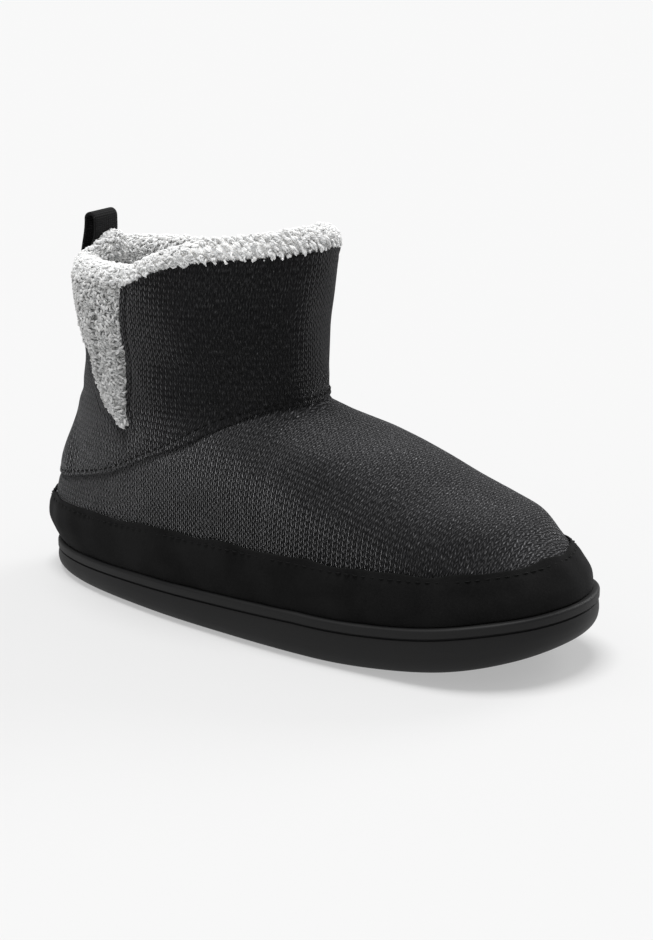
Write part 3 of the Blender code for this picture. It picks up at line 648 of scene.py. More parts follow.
def buildOutsole():
    # The side's profile carried round the outline: tucked under at the floor, a round groove
    # under the rim and a round lip, closed by strips from side to side
    shape = outsoleShape
    around = np.arange(shape["around"]) / shape["around"]
    under = size["rimHeight"] + shape["grooveWidth"]
    along = lengthAlong(shape["profile"] * (2, 1))
    table = np.column_stack([along, shape["profile"]])
    profile = smoothCurve(table, np.linspace(0, along[-1], shape["profileRows"]))
    share = [(row[0], row[1] * size["edgeTuck"], 0.0) for row in profile]
    for turn in np.linspace(0, pi, 9)[1:-1]:           # groove: share 1 is its lower edge
        share.append((1.0, shape["grooveDepth"] * np.sin(turn),
                      shape["grooveWidth"] * (1 - np.cos(turn)) / 2))
    share.append((1.0, 0.0, shape["grooveWidth"]))
    for turn in np.linspace(0, pi / 2, 9):             # rim's lip
        share.append((1.0, shape["rimRound"] * (1 - np.cos(turn)),
                      under - shape["rimRound"] * (1 - np.sin(turn))))
    share.append((1.0, shape["ledge"], under))         # seat under the upper's edge
    rings = []
    for height, inset, more in share:
        flat = soleRing(around, np.full(around.shape, inset))
        edge = edgeHeight(flat[:, 0])
        rings.append(np.column_stack([flat, floorLift(flat[:, 0]) + height * (edge - under)
                                      + more]))
    points = np.stack(rings)
    number = numbers(points)
    step = np.arange(1, shape["around"] // 2 - 1)
    caps, tips = [], []
    for ring, upward in ((number[0], -1), (number[-1], 1)):
        caps.append(np.stack([ring[step], ring[step + 1], ring[-step - 1], ring[-step]],
                             -1)[:, ::upward])
        middle = shape["around"] // 2
        tips.append(ring[np.array([[0, 1, -1], [middle, middle + 1, middle - 1]])][:, ::upward])
    sole = makePiece("outsole_moulded", points.reshape(-1, 3),
                     [quads(wrapRound(number)), *caps, *tips], finishes["rubber"])
    cutters = treadCutters()
    cut = sole.modifiers.new("Tread", "BOOLEAN")
    cut.operation, cut.object, cut.solver = "DIFFERENCE", cutters, "EXACT"
    bpy.context.view_layer.update()
    evaluated = sole.evaluated_get(bpy.context.evaluated_depsgraph_get())
    whole = bpy.data.meshes.new_from_object(evaluated)
    sole.modifiers.remove(cut)
    sole.data = whole
    bpy.data.objects.remove(cutters, do_unlink=True)
    whole.set_sharp_from_angle(angle=0.7)
    return dress(sole, "outsole_rubber", "outsole")


buildOutsole()
print("outsole made")


# Mudguard

guardShape = {"around": 480, "rows": 34, "thickness": 0.0015, "ripple": 0.00022,
              "edgeWave": 0.0004, "pared": 0.45, "paredFrom": 0.0060, "stitchBelow": 0.0026,
              "stitchLevel": 0.70}                     # share of the band's thickness


def buildMudguard():
    # Band over the vamp from the rim up: its face follows the last, with shallow ripples that a
    # cemented edge pulls. Both its edges are turned, and it is pared thinner towards the top.
    shape = guardShape
    around = np.arange(shape["around"]) / shape["around"] + np.zeros((shape["rows"], 1))
    half = shape["thickness"] / 2
    rise = guardHeight(around[0]) - size["gap"]
    edge = np.array([0, 0.05, 0.18, 0.4, 0.7, 1.1])[:, None] * half + 0 * rise
    away = np.concatenate([edge, np.linspace(1.6 * half, rise - 1.6 * half,
                                             shape["rows"] - 2 * len(edge)),
                           rise - edge[::-1]])
    turn = 2 * pi * around
    wave = shape["edgeWave"] * (np.sin(17 * turn + 0.8) + 0.7 * np.sin(29 * turn + 2.0))
    height = size["gap"] + away * (1 + wave / rise)
    ripple = shape["ripple"] * (np.sin(23 * turn + 0.4) + 0.8 * np.sin(37 * turn + 1.9)
                                + 0.6 * np.sin(9 * turn + 4.2)) * (0.35 + 0.65 * away / rise)
    bulge = roundedShare(np.minimum(away, rise - away), half) * half
    skive = 1 - shape["pared"] * smoothStep(rise - shape["paredFrom"], rise, away)
    middle = -(size["gap"] + half * skive + ripple)
    outer = face(around, height, middle - bulge * skive)
    inner = face(around, height, middle + bulge * skive)
    for grid in (outer, inner):
        grid[..., 2] = np.maximum(grid[..., 2], seat(grid[..., 0]) + size["gap"])
    return dress(shell("mudguard_suede", outer, inner, finishes["suede"], closed=True),
                 "black_microsuede", "mudguard")


buildMudguard()
print("mudguard made")


# Vamp and shaft panel

vampShape = {"around": 420, "hiddenRows": 6, "rows": 76, "thickness": 0.0016, "tuck": 0.0006,
             "groove": 0.0007, "grooveWidth": 0.0020, "behindGuard": 0.002}
panelShape = {"around": 420, "rows": 60, "thickness": 0.0017, "stitchDip": 0.0004,
              "stitchAway": 0.0024, "dipWidth": 0.0010, "hemAway": 0.0042, "hemWidth": 0.0011}


# How the knit's pattern lies on the last: heights and stations in metres
clothShape = {
    "ridgeLow": 0.012, "steepest": 1.2,   # the ridge's length grows at most so fast with x
    "levels": (0.004, 0.0845, 120), "stations": (0.002, 0.288, 160),
    "farFromRidge": 0.015, "nearRidge": (0.020, 0.012),
    "heelLevel": 0.036, "heelJoin": 0.06, "heelBlend": (0.08, 0.03),
    "shaftLevel": 0.115, "lowBlend": (0.104, 0.086), "backBlend": (0.022, 0.050),
    "frontBlend": (0.006, 0.040),
}


def sectionLengths(side, levels, stations, ridge):
    # For one side of the vamp, over levels and stations along the foot: length of the section
    # across the foot from there up to the ridge, which is negative on the outer side
    half = np.linspace(0, 0.5, 260)
    ways = half if side < 0 else 1 - half
    loops = last(ways + 0 * levels[:, None], levels[:, None] + 0 * ways)[..., 0]
    loops = np.maximum.accumulate(loops, axis=1)
    found = np.stack([np.interp(stations, row, ways) for row in loops])
    point = last(found, levels[:, None] + 0 * found)
    steps = np.hypot(np.diff(point[..., 1], axis=0), np.diff(point[..., 2], axis=0))
    length = np.vstack([0 * stations, np.cumsum(steps, axis=0)])
    top = np.stack([np.interp(stations, ridge[:, 0], ridge[:, k]) for k in (1, 2)], -1)
    chord = np.hypot(point[..., 1] - top[:, 0], top[:, 1] - point[..., 2])
    far = (chord > clothShape["farFromRidge"]) & (stations <= loops[:, -1:])
    lastFar = np.maximum(far.sum(axis=0) - 1, 0)
    column = np.arange(len(stations))
    total = length[lastFar, column] + chord[lastFar, column]
    throat = np.searchsorted(stations, ridge[0, 0])
    total = np.where(column < throat, total[throat], total)
    return side * (total - length)


def vampCloth(points, around, height):
    # Cloth coordinates in metres: along the foot, the length of the instep's ridge up to that
    # station, and round the heel the length of a level loop; across it, the length of the
    # section up to the ridge
    shape = clothShape
    way = np.linspace(shape["ridgeLow"], seamHeight(np.array([0.5]))[0], 240)
    ridge = last(np.full(way.shape, 0.5), way)[::-1]
    steps = np.diff(ridge, axis=0)
    climb = np.clip(np.hypot(steps[:, 0], steps[:, 2]), 0,
                    shape["steepest"] * np.abs(steps[:, 0]))
    length = np.concatenate([[0], np.cumsum(climb)])
    x, y, z = np.moveaxis(points, -1, 0)
    throat = ridge[0, 0]
    front = np.interp(x, ridge[:, 0], length) + np.minimum(x - throat, 0)
    half = np.linspace(0, 0.5, 240)
    loop = last(half, np.full(half.shape, shape["heelLevel"]))
    loopLength = lengthAlong(loop)
    toHeel = np.minimum(around, 1 - around)
    join = shape["heelJoin"]
    start = join - throat - np.interp(join, loop[:, 0], loopLength)
    along = front + ((np.interp(toHeel, half, loopLength) + start - front)
                     * smoothStep(*shape["heelBlend"], x))
    levels, stations = np.linspace(*shape["levels"]), np.linspace(*shape["stations"])
    row = np.clip((height - levels[0]) / (levels[1] - levels[0]), 0, len(levels) - 1.001)
    column = np.clip((x - stations[0]) / (stations[1] - stations[0]), 0, len(stations) - 1.001)
    across = np.zeros_like(x)
    for side in (-1, 1):
        value = bilinear(sectionLengths(side, levels, stations, ridge), row, column)
        chord = side * np.hypot(y - np.interp(x, ridge[:, 0], ridge[:, 1]),
                                np.interp(x, ridge[:, 0], ridge[:, 2]) - z)
        value = value + (chord - value) * smoothStep(*shape["nearRidge"], np.abs(chord))
        across = np.where((around < 0.5) == (side < 0), value, across)
    return np.stack([along, across], -1)


def panelCloth(points, around, height):
    # Cloth coordinates of the shaft: round it, the length of a level loop up to the same way
    # round, or low down up to the same station; up it, the height
    shape = clothShape
    way = np.linspace(0, 1.5, 700)
    length = lengthAlong(last(way, np.full(way.shape, shape["shaftLevel"])))
    byWay = np.interp(around, way, length)
    x = points[..., 0]
    rising = np.linspace(0, 0.5, 260)
    reach = last(rising, np.full(rising.shape, shape["shaftLevel"]))[:, 0]
    found = np.interp(x, reach, rising)
    turns = np.floor(around)
    found = np.where(around - turns < 0.5, turns + found, turns + 1 - found)
    byStation = np.interp(found, way, length)
    low = (smoothStep(*shape["lowBlend"], height) * smoothStep(*shape["backBlend"], x)
           * smoothStep(*shape["frontBlend"], reach[-1] - x))
    return np.stack([byWay + (byStation - byWay) * low, points[..., 2]], -1)


def buildVamp():
    # Knit from the sole up to the seam, a step lower than the shaft's panel, with a groove where
    # the seam draws it in
    shape = vampShape
    around = np.arange(shape["around"] + 1) / shape["around"]
    half = shape["thickness"] / 2
    low = guardHeight(around) - shape["behindGuard"]
    high = seamHeight(around) + shape["tuck"]
    share = np.linspace(0, 1, shape["rows"]) ** 0.9
    hidden = np.linspace(size["gap"] + 0 * around, low, shape["hiddenRows"] + 1)[:-1]
    height = np.vstack([hidden, low + (high - low) * share[:, None]])
    around = around + np.zeros((len(height), 1))
    away = seamHeight(around) - height
    depth = (size["seamStep"] * (1 - 0.8 * smoothStep(0.004, 0.020, away))
             + shape["groove"] * np.exp(-(away / shape["grooveWidth"]) ** 2)
             + trough(around, height) - drape(around, height)
             * smoothStep(0.0, 0.006, away))
    edge = np.minimum(height - size["gap"], high - height)
    bulge = roundedShare(edge, half) * half
    outer = face(around, height, depth + half - bulge)
    inner = face(around, height, depth + half + bulge)
    cloth = vampCloth(outer, around, height)
    return dress(shell("vamp_knit", outer[:, :-1], inner[:, :-1], finishes["knit"], closed=True,
                       uv=cloth), "charcoal_knit", "upper")


def panelGrid():
    # The panel as a strip from the notch's front edge round by the toe and the heel to its back
    # edge, closer set at both ends. Below the tip the ends meet.
    shape = panelShape
    tip = notchRows[0, 0]
    near = np.array([0.0006, 0.002, 0.0045, 0.008, 0.013, 0.020])
    share = np.unique(np.concatenate([[0, 1, tip], near, 1 - near, tip - near[:5],
                                      tip + near[:5], np.linspace(0.03, 0.97, shape["rows"])]))
    share = share[np.concatenate([[True], np.diff(share) > 3e-4])]
    edges = smoothCurve(notchRows, share)
    back, front = edges[:, :1], edges[:, 1:]
    p = np.linspace(0, 1, shape["around"])
    way = p - 0.8 * np.sin(2 * pi * p) / (2 * pi)
    around = front + (1 + back - front) * way
    low, high = seamHeight(around), collarHeight(around)
    height = low + (high - low) * share[:, None]
    return share, around, height, low, high, edges


def buildPanel():
    # Knit shaft in one panel, its edges rounded by the turned hem at the collar, along the notch
    # and at the seam, with a dip under the line of stitches
    shape = panelShape
    share, around, height, low, high, edges = panelGrid()
    tip = notchRows[0, 0]
    half = shape["thickness"] / 2
    tall = (high - low).mean()
    toEdge = (np.minimum(around - edges[:, 1:], 1 + edges[:, :1] - around)
              * size["shaftGirth"])
    below = np.clip(tip - share, 0, 1)[:, None] * tall
    toNotch = np.hypot(toEdge, below)
    away = np.minimum(np.minimum(height - low, high - height), toNotch)
    bulge = roundedShare(away, half) * half
    dip = np.exp(-((height - low - shape["stitchAway"]) / shape["dipWidth"]) ** 2)
    for toHem in (high - height, toNotch):
        dip += 0.7 * np.exp(-((toHem - shape["hemAway"]) / shape["hemWidth"]) ** 2)
    dip *= shape["stitchDip"]
    depth = (trough(around, height) + dip
             - drape(around, height) * smoothStep(0.0, 0.010, away))
    outer = face(around, height, depth + half - bulge)
    inner = face(around, height, depth + half + bulge)
    cloth = panelCloth(outer, around, height)
    welded = int(np.searchsorted(share, tip - 1e-6)) + 1
    return dress(shell("shaft_knit", outer, inner, finishes["shaftKnit"], uv=cloth,
                       welded=welded),
                 "charcoal_knit", "upper")


buildVamp()
buildPanel()
print("vamp and shaft made")


# Stitches

stitchShape = {"length": 0.0030, "pitch": 0.0042, "radius": 0.00032, "rings": 5, "sides": 6}


def sewLine(name, ways, heightAt, proud, slot, *nodes):
    # Stitches at equal steps along a line on the last: each rises out of the cloth and dives
    # back into it, as half a sine
    shape = stitchShape
    length = lengthAlong(last(ways, heightAt(ways)))
    count = int(length[-1] / shape["pitch"])
    starts = (np.arange(count) + 0.2) * length[-1] / count
    part = np.linspace(0, 1, shape["rings"])
    around = np.interp(starts[:, None] + shape["length"] * part, length, ways)
    height = heightAt(around)
    rise = proud + shape["radius"] * (2.4 * np.sin(pi * part) - 1.4)
    path = face(around, height, -rise * np.ones_like(around))
    normal = lastNormal(around, height)
    along = unit(np.gradient(path, axis=1))
    across = unit(np.cross(normal, along))
    over = np.cross(along, across)
    radius = shape["radius"] * np.array([0.7, 1.0, 1.0, 1.0, 0.7]) * np.ones((count, 1))
    return dress(tubes(name, path, across, over, radius, shape["sides"], finishes["thread"]),
                 slot, *nodes)


sewLine("seam_stitches", np.linspace(0, 1, 1400),
        lambda way: seamHeight(way) + panelShape["stitchAway"], -panelShape["stitchDip"],
        "charcoal_knit", "upper")
sewLine("mudguard_stitches", np.linspace(0, 1, 1400),
        lambda way: guardHeight(way) - guardShape["stitchBelow"],
        size["gap"] + guardShape["stitchLevel"] * guardShape["thickness"],
        "black_microsuede", "mudguard")
print("stitches made")


# Pull loop

loopShape = {
    "width": 0.0170, "tape": 0.0014, "gap": 0.0042, "rise": 0.0248, "tail": 0.0120,
    "lean": 0.0052, "spread": 0.0022, "steps": 30, "room": 0.060,
    "spare": 0.00012,                                  # between the two layers of the tail
}


def tapeBack(height):
    # Back face of the loop's tail inside the wall, as x and z
    beside = np.full(height.shape, np.arcsin(loopShape["width"] / size["shaftWidth"]) / (2 * pi))
    point = face(beside, height, size["wall"] + 2 * size["gap"])
    return point[..., 0], point[..., 2]


def buildPullLoop():
    # Flat tape with round selvages, carried up from between wall and fleece, over a half circle
    # and down again. The legs lean in over the collar with a smooth step.
    shape = loopShape
    edgeHigh = collarHeight(np.zeros(1))[0]
    tail = np.linspace(edgeHigh - shape["tail"], edgeHigh, 14)
    xTail, zTail = tapeBack(tail)
    xEdge, zEdge = xTail[-1], zTail[-1]
    xRound = xEdge + shape["tape"] + shape["lean"]
    zRound = zEdge + shape["rise"] - shape["gap"] / 2 - shape["tape"]
    radius = (shape["gap"] + shape["tape"]) / 2
    way = np.linspace(0, 1, shape["steps"])[1:]
    ease = way * way * (3 - 2 * way)
    turn = np.linspace(0, pi, 24)[1:-1]
    halfTape = shape["tape"] / 2
    backLeg = xEdge + halfTape + (xRound - radius - xEdge - halfTape) * ease
    frontLeg = (xEdge + 3 * halfTape + (xRound + radius - xEdge - 3 * halfTape) * ease
                + shape["spread"] * np.sin(pi * way) ** 2)
    legZ = zEdge + (zRound - zEdge) * way
    spare = shape["spare"]
    x = np.concatenate([xTail + halfTape - spare, backLeg - spare * (1 - ease),
                        xRound - radius * np.cos(turn), frontLeg[::-1] + spare * (1 - ease[::-1]),
                        xTail[::-1] + 3 * halfTape + spare])
    z = np.concatenate([zTail, legZ, zRound + radius * np.sin(turn), legZ[::-1], zTail[::-1]])
    path = np.column_stack([x, np.zeros_like(x), z])
    along = unit(np.gradient(path, axis=0))
    sideways = np.array([0.0, 1.0, 0.0])
    thick = np.cross(along, sideways)
    corner = np.linspace(-pi / 2, pi / 2, 7)
    flat = shape["width"] / 2 - halfTape
    rim = np.concatenate([np.column_stack([flat + halfTape * np.cos(corner),
                                           halfTape * np.sin(corner)]),
                          np.linspace([flat, halfTape], [-flat, halfTape], 12)[1:-1],
                          np.column_stack([-flat - halfTape * np.cos(corner),
                                           -halfTape * np.sin(corner)]),
                          np.linspace([-flat, -halfTape], [flat, -halfTape], 12)[1:-1]])
    points = path[:, None] + rim[:, :1] * sideways + rim[:, 1:] * thick[:, None]
    number = numbers(points)
    length = lengthAlong(path)
    uv = np.stack(np.broadcast_arrays(length[:, None], wrapRound(rim[None, :, 0])), -1)
    walls = quads(wrapRound(number))[:, ::-1]
    flatUv = quads(numbers(uv))[:, ::-1]
    caps = np.stack([number[0], number[-1, ::-1]])
    capUv = np.stack([np.arange(len(rim)), np.arange(len(rim))[::-1]])
    piece = makePiece("pull_loop_webbing", points.reshape(-1, 3), [walls, caps],
                      finishes["webbing"], uv.reshape(-1, 2),
                      np.concatenate([flatUv.ravel(), capUv.ravel()]))
    return dress(piece, "black_webbing", "pull_loop")


buildPullLoop()
print("pull loop made")


# Fleece

curlShape = {"radius": (0.00105, 0.00165), "yarn": (0.00055, 0.00085), "sweep": 5.0,
             "rings": 6, "sides": 4, "sunk": 0.35}
collarShape = {
    "around": 560, "rows": 104, "rise": 0.0050, "lump": 0.0046, "lumpHigh": 0.0013,
    "small": 0.0021, "smallHigh": 0.0005, "curls": 4200, "girth": 0.34,
    "loopRise": 1.20, "tapeRoom": 0.0012,              # higher and thinner beside the loop
    # where its outside draws in, by the notch and at the front: depth, way round, half width
    "insets": ((0.0026, 0.075, 0.080), (0.0014, 0.500, 0.100)),
    # section from behind the wall over the top and down the inside: inward as a share of the
    # roll's depth, up as a share of its rise
    "section": np.array([(0.26, -2.0), (0.25, -0.35), (0.23, 0.05), (0.21, 0.30),
                         (0.21, 0.55), (0.25, 0.80), (0.34, 0.97), (0.50, 1.04),
                         (0.68, 1.00), (0.87, 0.76), (0.98, 0.36), (1.03, -0.25),
                         (1.00, -1.20), (0.92, -2.60), (0.86, -4.40), (0.84, -6.20)]),
}
notchShape = {"across": 96, "rows": 150, "bulge": -0.0004, "tucked": 0.0030, "behind": 0.007,
              "curls": 1700, "thickness": 0.0028, "creaseDepth": 0.0022, "topSunk": 0.0018,
              "lump": 0.0042, "lumpHigh": 0.0011, "small": 0.0020, "smallHigh": 0.0004,
              "bareEdge": 0.0006, "bareTip": 0.008}    # no curls nearer than these


def curlField(name, centre, normal, seed, slot, node, finish="fleece"):
    # Short curls of pile: arcs of a small circle that lean over the surface and sink into it
    shape = curlShape
    count = len(centre)
    turnShare, leanShare, sizeShare, yarnShare, startShare, _ = scatter(count, seed)
    side = unit(np.cross(normal, np.array([0.31, 0.17, 0.94])))
    other = np.cross(normal, side)
    turn = 2 * pi * turnShare[:, None]
    first = side * np.cos(turn) + other * np.sin(turn)
    lean = (0.15 + 0.75 * leanShare[:, None]) * pi / 2
    second = normal * np.cos(lean) + np.cross(normal, first) * np.sin(lean)
    radius = shape["radius"][0] + (shape["radius"][1] - shape["radius"][0]) * sizeShare
    yarn = shape["yarn"][0] + (shape["yarn"][1] - shape["yarn"][0]) * yarnShare
    angle = 2 * pi * startShare[:, None] + shape["sweep"] * np.linspace(0, 1, shape["rings"])
    across = (first[:, None] * np.cos(angle)[..., None]
              + second[:, None] * np.sin(angle)[..., None])
    over = np.broadcast_to(np.cross(first, second)[:, None], across.shape)
    base = centre + normal * (radius * (1 - shape["sunk"]))[:, None]
    path = base[:, None] + across * radius[:, None, None]
    taper = np.array([0.55, 0.95, 1.0, 1.0, 0.95, 0.55])
    piece = tubes(name, path, across, over, yarn[:, None] * taper, shape["sides"],
                  finishes[finish])
    return dress(piece, slot, node)


def sampleGrid(points, rowShare, columnShare):
    # Points and normals of a grid at shares of its rows and columns. A normal is the cross
    # product of the two mean edges of the quad there.
    rows, columns = points.shape[:2]
    row, column = rowShare * (rows - 1), columnShare * (columns - 1)
    r, c = np.minimum(row.astype(int), rows - 2), np.minimum(column.astype(int), columns - 2)
    p00, p01, p10, p11 = points[r, c], points[r, c + 1], points[r + 1, c], points[r + 1, c + 1]
    return (bilinear(points, row, column),
            unit(np.cross(p01 - p00 + p11 - p10, p10 - p00 + p11 - p01)))


def sectionPoint(around, inward, up):
    # A point of the fleece by the collar: down the wall below its edge, straight up above it.
    # Near the pull loop the roll draws in behind the tape.
    shape = collarShape
    fromHeel = np.abs((around + 0.5) % 1.0 - 0.5)
    near = np.clip(2 * (1 - fromHeel / loopShape["room"]), 0, 1)
    rise = up * shape["rise"] * (1 + shape["loopRise"] * near * (up > 0))
    high = collarHeight(around)
    outer = 1 - np.clip(inward, 0, 1)
    deep = inward * size["rollDepth"]
    tapes = size["wall"] + 2 * size["gap"] + 2 * loopShape["tape"]
    deep = np.where(up < 0.05, deep + near * np.maximum(tapes + shape["tapeRoom"] - deep, 0)
                    * smoothStep(-2.2, -1.4, up), deep)
    for inset, way, wide in shape["insets"]:
        away = (around - way + 0.5) % 1.0 - 0.5
        deep = deep + outer * inset * np.exp(-(away / wide) ** 4)
    deep = deep + (near * (tapes + loopShape["lean"]) * (0.6 + 0.4 * outer)
                   * smoothStep(-0.6, 0.35, up))
    point = face(around, high + np.minimum(rise, 0), deep)
    point[..., 2] += np.maximum(rise, 0)
    return point


def buildCollarFleece():
    # The roll: its section carried round the collar's edge, closed behind the wall, with lumps
    # pushed out along its normal
    shape = collarShape
    section = shape["section"]
    along = lengthAlong(section * (size["rollDepth"], shape["rise"]))
    place = np.linspace(0, along[-1], shape["rows"])
    profile = smoothCurve(np.column_stack([along, section]), place)
    around = np.arange(shape["around"] + 1) / shape["around"]
    grid = sectionPoint(around + np.zeros((shape["rows"], 1)), profile[:, :1] + 0 * around,
                        profile[:, 1:] + 0 * around)
    girth = shape["girth"]
    u = around * girth + 0 * place[:, None]
    v = place[:, None] + 0 * around
    cells = round(girth / shape["lump"])
    small = round(girth / shape["small"])
    high = (shape["lumpHigh"] * lumps(u, v, girth / cells, cells, 3.0)
            + shape["smallHigh"] * lumps(u, v, girth / small, small, 11.0))
    shown = smoothStep(-0.4, 0.15, profile[:, 1]) + (profile[:, 0] > 0.5)
    normal = unit(np.cross(np.gradient(grid, axis=1), np.gradient(grid, axis=0)))
    normal[:, [0, -1]] = (normal[:, :1] + normal[:, -1:]) / 2
    closed = grid + normal * (high * np.clip(shown, 0, 1)[:, None])[..., None]
    number = wrapRound(numbers(closed[:, :-1]))
    ring = np.vstack([number, number[:1]])
    dress(makePiece("collar_fleece", closed[:, :-1].reshape(-1, 3), [quads(ring)],
                    finishes["fleece"]), "grey_fleece", "fleece_lining")
    rowShare, columnShare = scatter(shape["curls"], 0)[:2]
    first = np.searchsorted(profile[:, 1] + (profile[:, 0] > 0.3) * 9, 0.10) / shape["rows"]
    lastRow = np.searchsorted(-profile[shape["rows"] // 2:, 1], 2.2) / shape["rows"] + 0.5
    rowShare = first + (lastRow - first) * rowShare
    centre, normals = sampleGrid(closed, rowShare, columnShare)
    curlField("collar_curls", centre, normals, 17, "grey_fleece", "fleece_lining")


def creaseShare(share, inset):
    # Where the notch's two rolled edges meet: a bell across, set further forward near the top
    middle = 0.40 + 0.26 * smoothStep(0.45, 0.85, share)
    return (np.exp(-((inset - middle) / 0.075) ** 2) * smoothStep(0.38, 0.55, share)
            * (1 - smoothStep(0.82, 0.96, share)))


def notchGrid():
    # Fleece between the notch's edges and a little behind them: deep at the edges, full in the
    # middle, with a crease down the middle where its two rolled edges meet
    shape = notchShape
    share = np.linspace(notchRows[0, 0] - 0.045, 1.03, shape["rows"])[:, None]
    q = np.linspace(0, 1, shape["across"])
    edges = smoothCurve(notchRows, share[:, 0])
    behind = shape["behind"]
    back, front = edges[:, :1] - behind, edges[:, 1:] + behind
    around = back + (front - back) * q
    low, high = seamHeight(around), collarHeight(around)
    height = low + (high - low) * share
    slit = front - back - 2 * behind
    inset = np.clip((q * (front - back) - behind) / np.maximum(slit, 1e-4), -0.5, 1.5)
    crown = (smoothStep(-0.05, 0.60, inset) * (1 - smoothStep(0.84, 1.06, inset))
             * smoothStep(0.0, 0.010, slit))
    proud = (-shape["tucked"] + (shape["bulge"] + shape["tucked"]) * crown
             - shape["creaseDepth"] * creaseShare(share, inset)
             - shape["topSunk"] * smoothStep(0.70, 0.98, share))
    return share + 0 * around, around, height, proud, inset


def buildNotchFleece():
    # A lumpy sheet with a wall over the notch's grid, and curls where it shows and isn't creased
    shape = notchShape
    share, around, height, proud, inset = notchGrid()
    base = face(around, height, -proud)
    u, v = around * size["shaftGirth"], height
    high = (shape["lumpHigh"] * lumps(u, v, shape["lump"], 1e6, 5.0)
            + shape["smallHigh"] * lumps(u, v, shape["small"], 1e6, 8.0))
    normal = lastNormal(around, height)
    edge = np.minimum(np.minimum(inset + 0.2, 1.2 - inset) * 5, 1).clip(0, 1)
    outer = base + normal * (high * edge)[..., None]
    inner = base - normal * shape["thickness"]
    for border in (np.s_[0], np.s_[-1], np.s_[:, 0], np.s_[:, -1]):
        outer[border] = inner[border] = (outer[border] + inner[border]) / 2
    # painted shade: the notch's fleece and its curls take the darker copy of the sherpa
    dress(shell("notch_fleece", outer, inner, finishes["notchPaintedShade"]), "grey_fleece",
          "fleece_lining")
    rowShare, columnShare = scatter(shape["curls"], 40)[:2]
    rows, columns = outer.shape[:2]
    rowShare = 0.03 + 0.94 * rowShare
    r = (rowShare * (rows - 1)).astype(int)
    c = (columnShare * (columns - 1)).astype(int)
    edges = smoothCurve(notchRows, share[r, c])
    toEdge = (np.minimum(around[r, c] - edges[:, 0], edges[:, 1] - around[r, c])
              * size["shaftGirth"])
    keep = ((toEdge > shape["bareEdge"]) & (share[r, c] > notchRows[0, 0] + shape["bareTip"])
            & (creaseShare(share[r, c], inset[r, c]) < 0.55))
    centre, normals = sampleGrid(outer, rowShare[keep], columnShare[keep])
    curlField("notch_curls", centre, normals, 90, "grey_fleece", "fleece_lining",
              "notchPaintedShade")


liningShape = {"around": 220, "rows": 84, "thickness": 0.0016, "lump": 0.0048,
               "lumpHigh": 0.0011, "curls": 1500, "low": 0.0012, "belowCollar": 0.022,
               "footPile": 0.0022, "pileSunk": 0.0030, "overFootbed": 0.0026}


def buildLining():
    # Fleece sock from the roll down to the footbed, deeper in the shaft than in the foot, and
    # again where it laps over the footbed's edge
    shape = liningShape
    around = np.arange(shape["around"] + 1) / shape["around"]
    top = collarHeight(around) - shape["belowCollar"]
    share = np.linspace(0, 1, shape["rows"])[:, None]
    height = shape["low"] + (top - shape["low"]) * share
    around = around + 0 * share
    seam = seamHeight(around)
    pile = (size["wall"] + 2 * size["gap"] + shape["footPile"]
            + (size["pile"] - shape["pileSunk"]) * smoothStep(seam - 0.010, seam + 0.012,
                                                              height)
            + shape["overFootbed"] * smoothStep(0.014, 0.003, height))
    girth = size["shaftGirth"]
    cells = round(girth / shape["lump"])
    high = shape["lumpHigh"] * lumps(around * girth, height, girth / cells, cells, 21.0)
    outer = face(around, height, pile)
    inner = face(around, height, pile + shape["thickness"] + high)
    for border in (0, -1):
        outer[border] = inner[border] = (outer[border] + inner[border]) / 2
    dress(shell("lining_sock", outer[:, :-1], inner[:, :-1], finishes["fleece"], closed=True),
          "grey_fleece", "fleece_lining")
    rowShare, columnShare = scatter(shape["curls"], 7)[:2]
    centre, normals = sampleGrid(inner, 0.35 + 0.64 * rowShare, columnShare)
    curlField("lining_curls", centre, -normals, 55, "grey_fleece", "fleece_lining")


footbedShape = {"along": 200, "across": 64, "lump": 0.0050, "lumpHigh": 0.0011, "curls": 1200,
                "round": 0.0020, "crown": 0.0006, "curlSunk": 0.0003}


def buildInsole():
    # Footbed between the wall's two sides, strip by strip: its top is lumpy pile with a rounded
    # edge, its underside flat on the sole
    shape = footbedShape
    way = np.linspace(0.006, 0.494, shape["along"])
    q = np.linspace(0, 1, shape["across"])
    q = (q - 0.55 * np.sin(2 * pi * q) / (2 * pi))[:, None]
    lowest = np.full(way.shape, size["gap"])
    sides = []
    for around in (way, 1 - way):
        outward = unit(lastNormal(around, lowest) * (1, 1, 0))
        sides.append(last(around, lowest) - outward * (size["wall"] + size["insoleGap"]))
    point = sides[0] + (sides[1] - sides[0]) * q[..., None]
    wide = np.linalg.norm(sides[1] - sides[0], axis=1)
    ends = np.minimum(np.linalg.norm(point - point[:, :1], axis=-1),
                      np.linalg.norm(point - point[:, -1:], axis=-1))
    away = np.minimum(np.minimum(q, 1 - q) * wide, ends)
    rounded = roundedShare(away, shape["round"])
    ground = seat(point[..., 0]) + size["gap"]
    pad = size["insoleThickness"] - size["gap"] - shape["lumpHigh"]
    high = lumps(point[..., 0], point[..., 1], shape["lump"], 1e6, 2.0) * shape["lumpHigh"]
    crown = shape["crown"] * np.sin(pi * q)
    top, bottom = point.copy(), point.copy()
    top[..., 2] = ground + pad * (0.4 + 0.6 * rounded) + (high + crown) * rounded
    bottom[..., 2] = ground + pad * 0.4 * (1 - rounded)
    piece = dress(shell("insole_footbed", top, bottom, finishes["footbed"]), "insole_fleece",
                  "insole")
    rowShare, columnShare = scatter(shape["curls"], 31)[:2]
    centre, normals = sampleGrid(top, 0.06 + 0.88 * rowShare, 0.02 + 0.96 * columnShare)
    curlField("insole_curls", centre - (0, 0, shape["curlSunk"]), normals, 77,
              "insole_fleece", "insole", "footbed")


buildCollarFleece()
buildNotchFleece()
print("collar and notch made")
buildLining()
buildInsole()
print("lining and footbed made")


# Studio

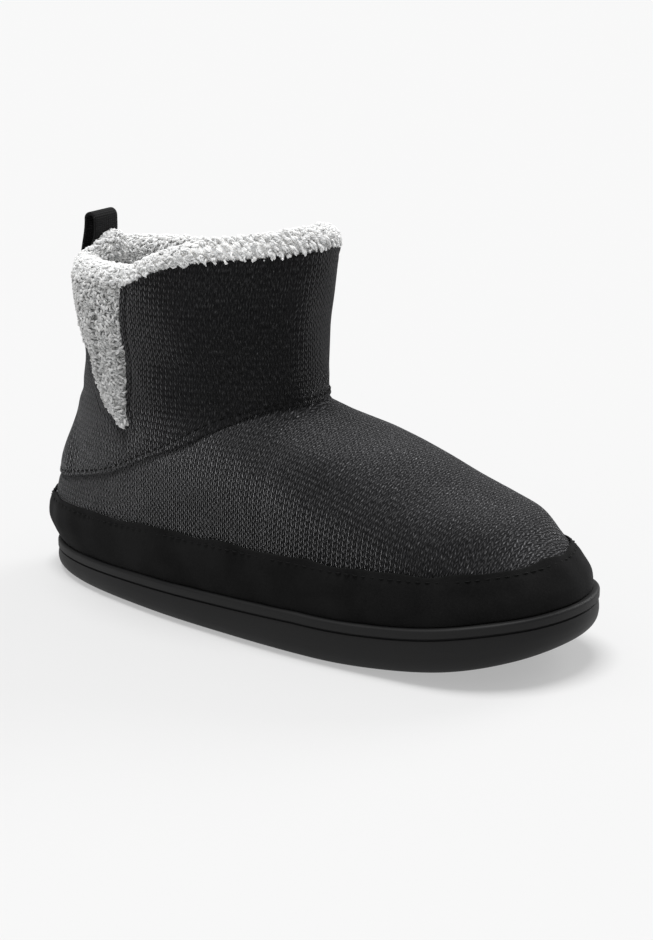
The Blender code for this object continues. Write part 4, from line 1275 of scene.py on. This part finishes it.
studio = {"floorHalf": 15.0, "floorShade": 0.358, "floorGlow": 0.40, "sky": 0.40}
# Softboxes: strength, width and the angles from straight above to behind and to the toe's side
softboxes = {"overhead_softbox": (3.0, 30, -5, -4), "rear_softbox": (1.1, 30, 60, 22)}


def buildStudio():
    mesh = bpy.data.meshes.new("studio_floor")
    half = studio["floorHalf"]
    mesh.from_pydata([(-half, -half, 0), (half, -half, 0), (half, half, 0), (-half, half, 0)], [],
                     [(0, 1, 2, 3)])
    made, _ = startMaterial("studio_paper_backlit", {
        "Base Color": (*[studio["floorShade"]] * 3, 1), "Roughness": 1.0,
        "Specular IOR Level": 0.0, "Emission Color": (1, 1, 1, 1),
        "Emission Strength": studio["floorGlow"]})
    mesh.materials.append(made)
    floor = bpy.data.objects.new("studio_floor", mesh)
    bpy.context.scene.collection.objects.link(floor)
    world = bpy.data.worlds.new("studio_sky")
    bpy.context.scene.world = world
    world.use_nodes = True
    sky = world.node_tree.nodes["Background"]
    sky.inputs["Color"].default_value = (1, 1, 1, 1)
    sky.inputs["Strength"].default_value = studio["sky"]
    for name, (strength, width, behind, toeward) in softboxes.items():
        lamp = bpy.data.lights.new(name, "SUN")
        lamp.energy, lamp.angle = strength, radians(width)
        light = bpy.data.objects.new(name, lamp)
        light.rotation_euler = (radians(-behind), radians(toeward), 0)
        bpy.context.scene.collection.objects.link(light)


# Angles in degrees and lengths in metres. In picture points: the frame's longer side, a metre at
# the target, and the lens's shift.
view = {"azimuth": 34.06, "elevation": 17.59, "distance": 1.0, "target": (0.029, 0.0, 0.060),
        "frame": 940, "metre": 2157, "shift": (22.4, 19.5)}


def buildCamera():
    # A long lens a metre away, at the photograph's angle, shifted as little as its framing needs
    azimuth, elevation = radians(view["azimuth"]), radians(view["elevation"])
    right = Vector((np.cos(azimuth), np.sin(azimuth), 0))
    back = Vector((np.sin(azimuth) * np.cos(elevation), -np.cos(azimuth) * np.cos(elevation),
                   np.sin(elevation)))
    up = back.cross(right)
    lens = bpy.data.cameras.new("product_camera")
    lens.lens, lens.sensor_width = view["metre"] * 36 / view["frame"], 36
    lens.shift_x, lens.shift_y = (part / view["frame"] for part in view["shift"])
    lens.clip_end = 100
    camera = bpy.data.objects.new("product_camera", lens)
    turned = Matrix((right, up, back)).transposed().to_4x4()
    place = Vector(view["target"]) + back * view["distance"]
    camera.matrix_world = Matrix.Translation(place) @ turned
    bpy.context.scene.collection.objects.link(camera)
    bpy.context.scene.camera = camera


buildStudio()
buildCamera()
bpy.context.scene.view_settings.view_transform = "Standard"
print("studio made")
